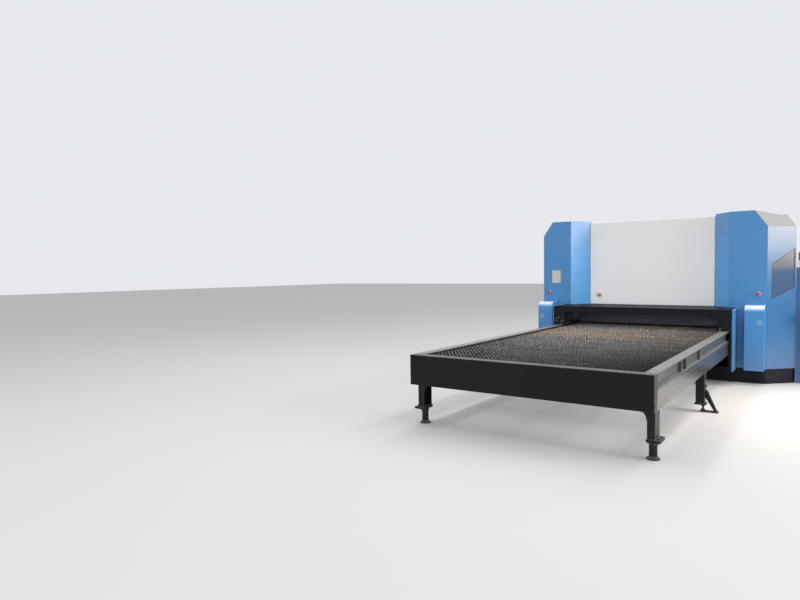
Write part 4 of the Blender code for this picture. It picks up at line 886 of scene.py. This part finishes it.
LEG_W, WELD_R, FOOT_PLATE_T = 0.068, 0.0035, 0.017
dice = random.Random(11)
hardware, welds = bmesh.new(), bmesh.new()
for word, out in (("left", -1), ("right", 1)):
    plate_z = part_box("foot_front_" + word)[1].z
    leg_low, leg_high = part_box("leg_front_" + word)
    outer_x = leg_high.x if out > 0 else leg_low.x
    inner_x = outer_x - out * LEG_W
    stud_at = ((outer_x + inner_x) / 2, ((leg_low + leg_high) / 2).y, plate_z - FOOT_PLATE_T)
    add_bolt(welds, stud_at, (0, 0, -1), 0.05, 0.028, washer=False)
    for y in (leg_low.y + 0.03, leg_high.y - 0.03):
        add_bolt(hardware, (outer_x + out * 0.023, y, plate_z), UP, 0.011)
    for y in (leg_low.y, leg_high.y):
        for z in (plate_z + 0.001, leg_high.z):
            add_weld(welds, (inner_x, y, z), (outer_x, y, z), WELD_R, dice)
    corners = [(outer_x, y, plate_z + 0.001) for y in (leg_low.y, leg_high.y)]
    add_weld(welds, *corners, WELD_R, dice)
    mid_low, mid_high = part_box("leg_mid_" + word)
    face_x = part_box("side_beam_" + word)[1 if out > 0 else 0].x
    mid_y = (mid_low.y + mid_high.y) / 2
    add_bolt(hardware, (face_x - out * 0.022, mid_y, 0.084), (0, 0, -1), 0.02, 0.016)
    for z in (0.275, 0.385):
        add_bolt(hardware, (face_x + out * 0.0005, mid_y, z), (out, 0, 0), 0.01)
    for y in (mid_low.y + 0.04, mid_high.y - 0.04):
        add_weld(welds, (face_x, y, 0.188), (face_x, y, 0.252), 0.003, dice)
show(hardware, "foot_bolts", "machine", leg_paint, 20)
show(welds, "foot_welds", "machine", leg_paint, 60)
print("bolts", triangles["foot_bolts"], "welds", triangles["foot_welds"], "triangles")

# %% [markdown]
# Long sheet-metal walls are made of narrower panels, joined under a flat cover strip that is riveted on
# both sides. The strips are thin bars with broken edges, and none stands where a door moves.

# %% Joint strips on the side walls
STRIP_W, STRIP_T, RIVET_PITCH, RIVET_OFF = 0.044, 0.0025, 0.24, 0.014
LEFT_JOINTS, RIGHT_JOINTS = (0.55, 2.55, 3.7, 4.75), (0.62, 4.83)
strips = bmesh.new()
left_low, left_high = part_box("wall_left")
strip_low, strip_high = left_low.z + 0.03, left_high.z - 0.19


def add_strip(y, face_x, side):
    """One cover strip on a side wall, with a row of rivets along each edge."""
    outer_x = face_x + side * STRIP_T
    low_x, high_x = sorted((face_x - side * 0.0005, outer_x))
    add_bar(strips, (low_x, y - STRIP_W / 2, strip_low), (high_x, y + STRIP_W / 2, strip_high), 0.0008)
    count = int((strip_high - strip_low) / RIVET_PITCH)
    for k in range(count + 1):
        z = strip_low + 0.03 + (strip_high - strip_low - 0.06) * k / count
        for off in (-RIVET_OFF, RIVET_OFF):
            add_turned(strips, RIVET, (outer_x, y + off, z), (side, 0, 0), 8)


for joints, face_x, side in ((LEFT_JOINTS, left_low.x, -1), (RIGHT_JOINTS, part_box("corner_panel")[1].x, 1)):
    for y in joints:
        add_strip(y, face_x, side)
show(strips, "wall_strips", "machine", wall_white, 50)
print("wall strips:", triangles["wall_strips"], "triangles")

# %% [markdown]
# The back has no doors, so it is closed by four tray panels that screw on from outside. A tray is a bar
# whose face is sunk a few millimetres inside a rim, and the gaps between the trays are open joints. Two of
# them carry air slots, small bars with rounded edges. A bar along the top and a plate in each upper corner
# close the back up to the slope of the roof's edge.

# %% Back panels
rear_low, rear_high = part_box("wall_rear")
eave_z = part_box("corner_panel")[1].z - 0.03
TOP_BAR_IN, TRAYS, SLOTS = 0.1446, 4, 9
SLOPE_RUN, SLOPE_RISE, PLATE_IN, PLATE_END = 0.0845, 0.117, 0.002, 0.196
back = bmesh.new()
add_bar(back, rear_low, (rear_high.x, rear_high.y - 0.012, eave_z))
add_bar(back, (rear_low.x + TOP_BAR_IN, rear_low.y, eave_z - 0.03),
        (rear_high.x - TOP_BAR_IN, *rear_high.yz), 0.003)
slope_z = eave_z + 0.018
for x0, side in ((rear_low.x, 1), (rear_high.x, -1)):
    outline = [(PLATE_IN, eave_z - 0.001), (PLATE_IN, slope_z), (PLATE_IN + SLOPE_RUN, slope_z + SLOPE_RISE),
               (PLATE_END, slope_z + SLOPE_RISE), (PLATE_END, eave_z - 0.001)]
    corner = bmesh.new()
    for y in (rear_low.y + 0.004, rear_high.y - 0.009):
        for off, z in outline:
            corner.verts.new((x0 + side * off, y, z))
    bmesh.ops.convex_hull(corner, input=corner.verts)
    take_in(back, corner)
step_x = (rear_high.x - rear_low.x) / TRAYS
for k in range(TRAYS):
    x0, x1 = rear_low.x + k * step_x + 0.002, rear_low.x + (k + 1) * step_x - 0.002
    top_z = eave_z - 0.034
    tray = bmesh.new()
    add_bar(tray, (x0, rear_high.y - 0.014, rear_low.z + 0.002), (x1, rear_high.y - 0.003, top_z))
    tray.normal_update()
    sink_face(tray, (0, 1, 0), 0.035, 0.004)
    take_in(back, tray)
    for z in (rear_low.z + 0.02, (rear_low.z + top_z) / 2, top_z - 0.018):
        for x in (x0 + 0.017, x1 - 0.017):
            add_turned(back, RIVET, (x, rear_high.y - 0.003, z), (0, 1, 0), 8)
    if k in (0, TRAYS - 1):
        for z in (rear_low.z + 0.16 + row * 0.03 for row in range(SLOTS)):
            air = ((x0 + 0.15, rear_high.y - 0.008, z), (x1 - 0.15, rear_high.y - 0.001, z + 0.014))
            add_bar(back, *air, 0.003)
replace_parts(show(back, "wall_rear_trays", "machine", wall_white, 50), "wall_rear")
print("back:", triangles["wall_rear_trays"], "triangles")

# %% [markdown]
# The sliding door is stiffened by pressed ribs, and the service door hangs on three hinges with round
# knuckles. A pressed rib is a bar whose edges are rounded almost to its full height.

# %% Door ribs and hinges
RIBS, RIB_PITCH, RIB_H = 4, 0.16, 0.05
door_low, door_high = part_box("door_right")
door_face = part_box("door_right_glass")[1].x + 0.011
ribs = bmesh.new()
for k in range(RIBS):
    z = door_low.z + 0.17 + k * RIB_PITCH
    add_bar(ribs, (door_face - 0.001, door_low.y + 0.36, z), (door_face + 0.006, door_high.y - 0.14, z + RIB_H),
            0.0045, 3)
show(ribs, "door_ribs", "sliding_door", blue)
KNUCKLE = [(0, 0), (0.0085, 0), (0.0095, 0.001), (0.0095, 0.044), (0.0085, 0.045), (0.0085, 0.046),
           (0.0095, 0.047), (0.0095, 0.099), (0.0085, 0.1), (0, 0.1)]
service_low, service_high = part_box("door_left")
hinges = bmesh.new()
for z in (service_low.z + 0.16, (service_low.z + service_high.z) / 2 - 0.05, service_high.z - 0.26):
    add_turned(hinges, KNUCKLE, (left_low.x - 0.002, service_low.y - 0.011, z), UP, 20)
show(hinges, "service_hinges", "machine", zinc)
print("ribs", triangles["door_ribs"], "hinges", triangles["service_hinges"])

# %% [markdown]
# The operator's console stands beside the corner. Only its edge shows from the front, but it is finished
# all round: a keyboard with plain keys, a row of push buttons, air slots and hinges on the cabinet door.

# %% Console controls
DESK_Z, DESK_TILT, KEY_ROWS, KEY_COLUMNS, KEY_PITCH, KEY_W = 0.97, 0.146, 5, 15, 0.022, 0.0185
console_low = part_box("console_body")[0]
face_y = console_low.y + 0.17
slope = Matrix.Translation((console_low.x + 0.13, console_low.y, DESK_Z)) @ Matrix.Rotation(DESK_TILT, 4, "X")
board, keys = bmesh.new(), bmesh.new()
add_bar(board, (-0.015, 0.012, -0.004), (0.345, 0.142, 0.01), 0.004)
for row in range(KEY_ROWS):
    for column in range(KEY_COLUMNS):
        x, y = column * KEY_PITCH, KEY_PITCH + row * KEY_PITCH
        add_bar(keys, (x, y, 0.008), (x + KEY_W, y + KEY_W, 0.016), 0.0025, 1)
for part, name, look, slot in ((board, "keyboard", rubber, "black_paint"),
                               (keys, "keys", key_grey, "lamp_white")):
    bmesh.ops.transform(part, matrix=slope, verts=part.verts)
    show(part, name, "machine", look, 50)
PUSH = [(0, 0), (0.014, 0), (0.014, 0.004), (0.0125, 0.006), (0.0105, 0.006), (0.0105, 0.01), (0.009, 0.0115),
        (0, 0.012)]
for k, look in enumerate((lamp_white, lamp_white, red, lamp_white)):
    push = bmesh.new()
    at = (console_low.x + 0.16 + k * 0.085, face_y + 0.004, 1.13)
    add_turned(push, PUSH, at, (0, -1, 0.086), 24)
    show(push, "push_button_" + str(k + 1), "machine", look)
slots = bmesh.new()
hatch_low, hatch_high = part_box("console_door")
for k in range(6):
    z = hatch_low.z + 0.1 + k * 0.022
    add_bar(slots, (hatch_low.x + 0.12, face_y - 0.0035, z), (hatch_high.x - 0.12, face_y + 0.001, z + 0.011),
            0.003)
show(slots, "hatch_louvres", "cabinet_door", deep_blue)
hatch_hinges = bmesh.new()
for z in (hatch_low.z + 0.07, hatch_high.z - 0.17):
    add_turned(hatch_hinges, KNUCKLE, (hatch_high.x + 0.003, face_y - 0.002, z), UP, 18)
show(hatch_hinges, "hatch_hinges", "machine", zinc)
print("keys", triangles["keys"], "louvres", triangles["hatch_louvres"])

# %% [markdown]
# The signal lamp stands on the console's top. Its lens is one turned part whose profile steps in and out
# nine times, because ribs in the plastic spread the light sideways, and a domed end closes it. The foot is a
# turned tube with a flange to screw down and a groove where lens and tube meet.

# %% Signal lamp
lamp_low, lamp_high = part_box("lamp_red")
lamp_mid = middle((lamp_low, lamp_high)).xy
lens_h = lamp_high.z - lamp_low.z
RINGS, LENS_R, GROOVE_R = 9, 0.026, 0.0245
lens_profile = [(0, 0), (LENS_R, 0)]
for k in range(RINGS):
    z = 0.006 + k * (lens_h * 0.8 / RINGS)
    lens_profile += [(LENS_R, z), (GROOVE_R, z + 0.003), (LENS_R, z + 0.006)]
lens_profile += [(GROOVE_R, lens_h * 0.86), (0.02, lens_h * 0.95), (0.01, lens_h * 0.99), (0, lens_h)]
lens_part = bmesh.new()
add_turned(lens_part, lens_profile, (*lamp_mid, lamp_low.z), UP, 40)
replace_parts(show(lens_part, "lamp_lens", "machine", red), "lamp_red")
BASE = [(0, 0), (0.034, 0), (0.034, 0.009), (0.032, 0.012), (0.027, 0.016), (0.026, 0.02), (0.026, 0.086),
        (0.0235, 0.088), (0.0235, 0.091), (0.026, 0.093), (0.026, 0.1), (0, 0.1)]
base_part = bmesh.new()
add_turned(base_part, BASE, (*lamp_mid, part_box("lamp_base")[0].z), UP, 40)
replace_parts(show(base_part, "lamp_foot", "machine", lamp_white), "lamp_base")
print("lamp:", triangles["lamp_lens"] + triangles["lamp_foot"], "triangles")

# %% [markdown]
# Last, the largest pieces and the total number of triangles are printed.


print("largest pieces:", sorted(triangles.items(), key=lambda kv: -kv[1])[:4], "total", sum(triangles.values()))
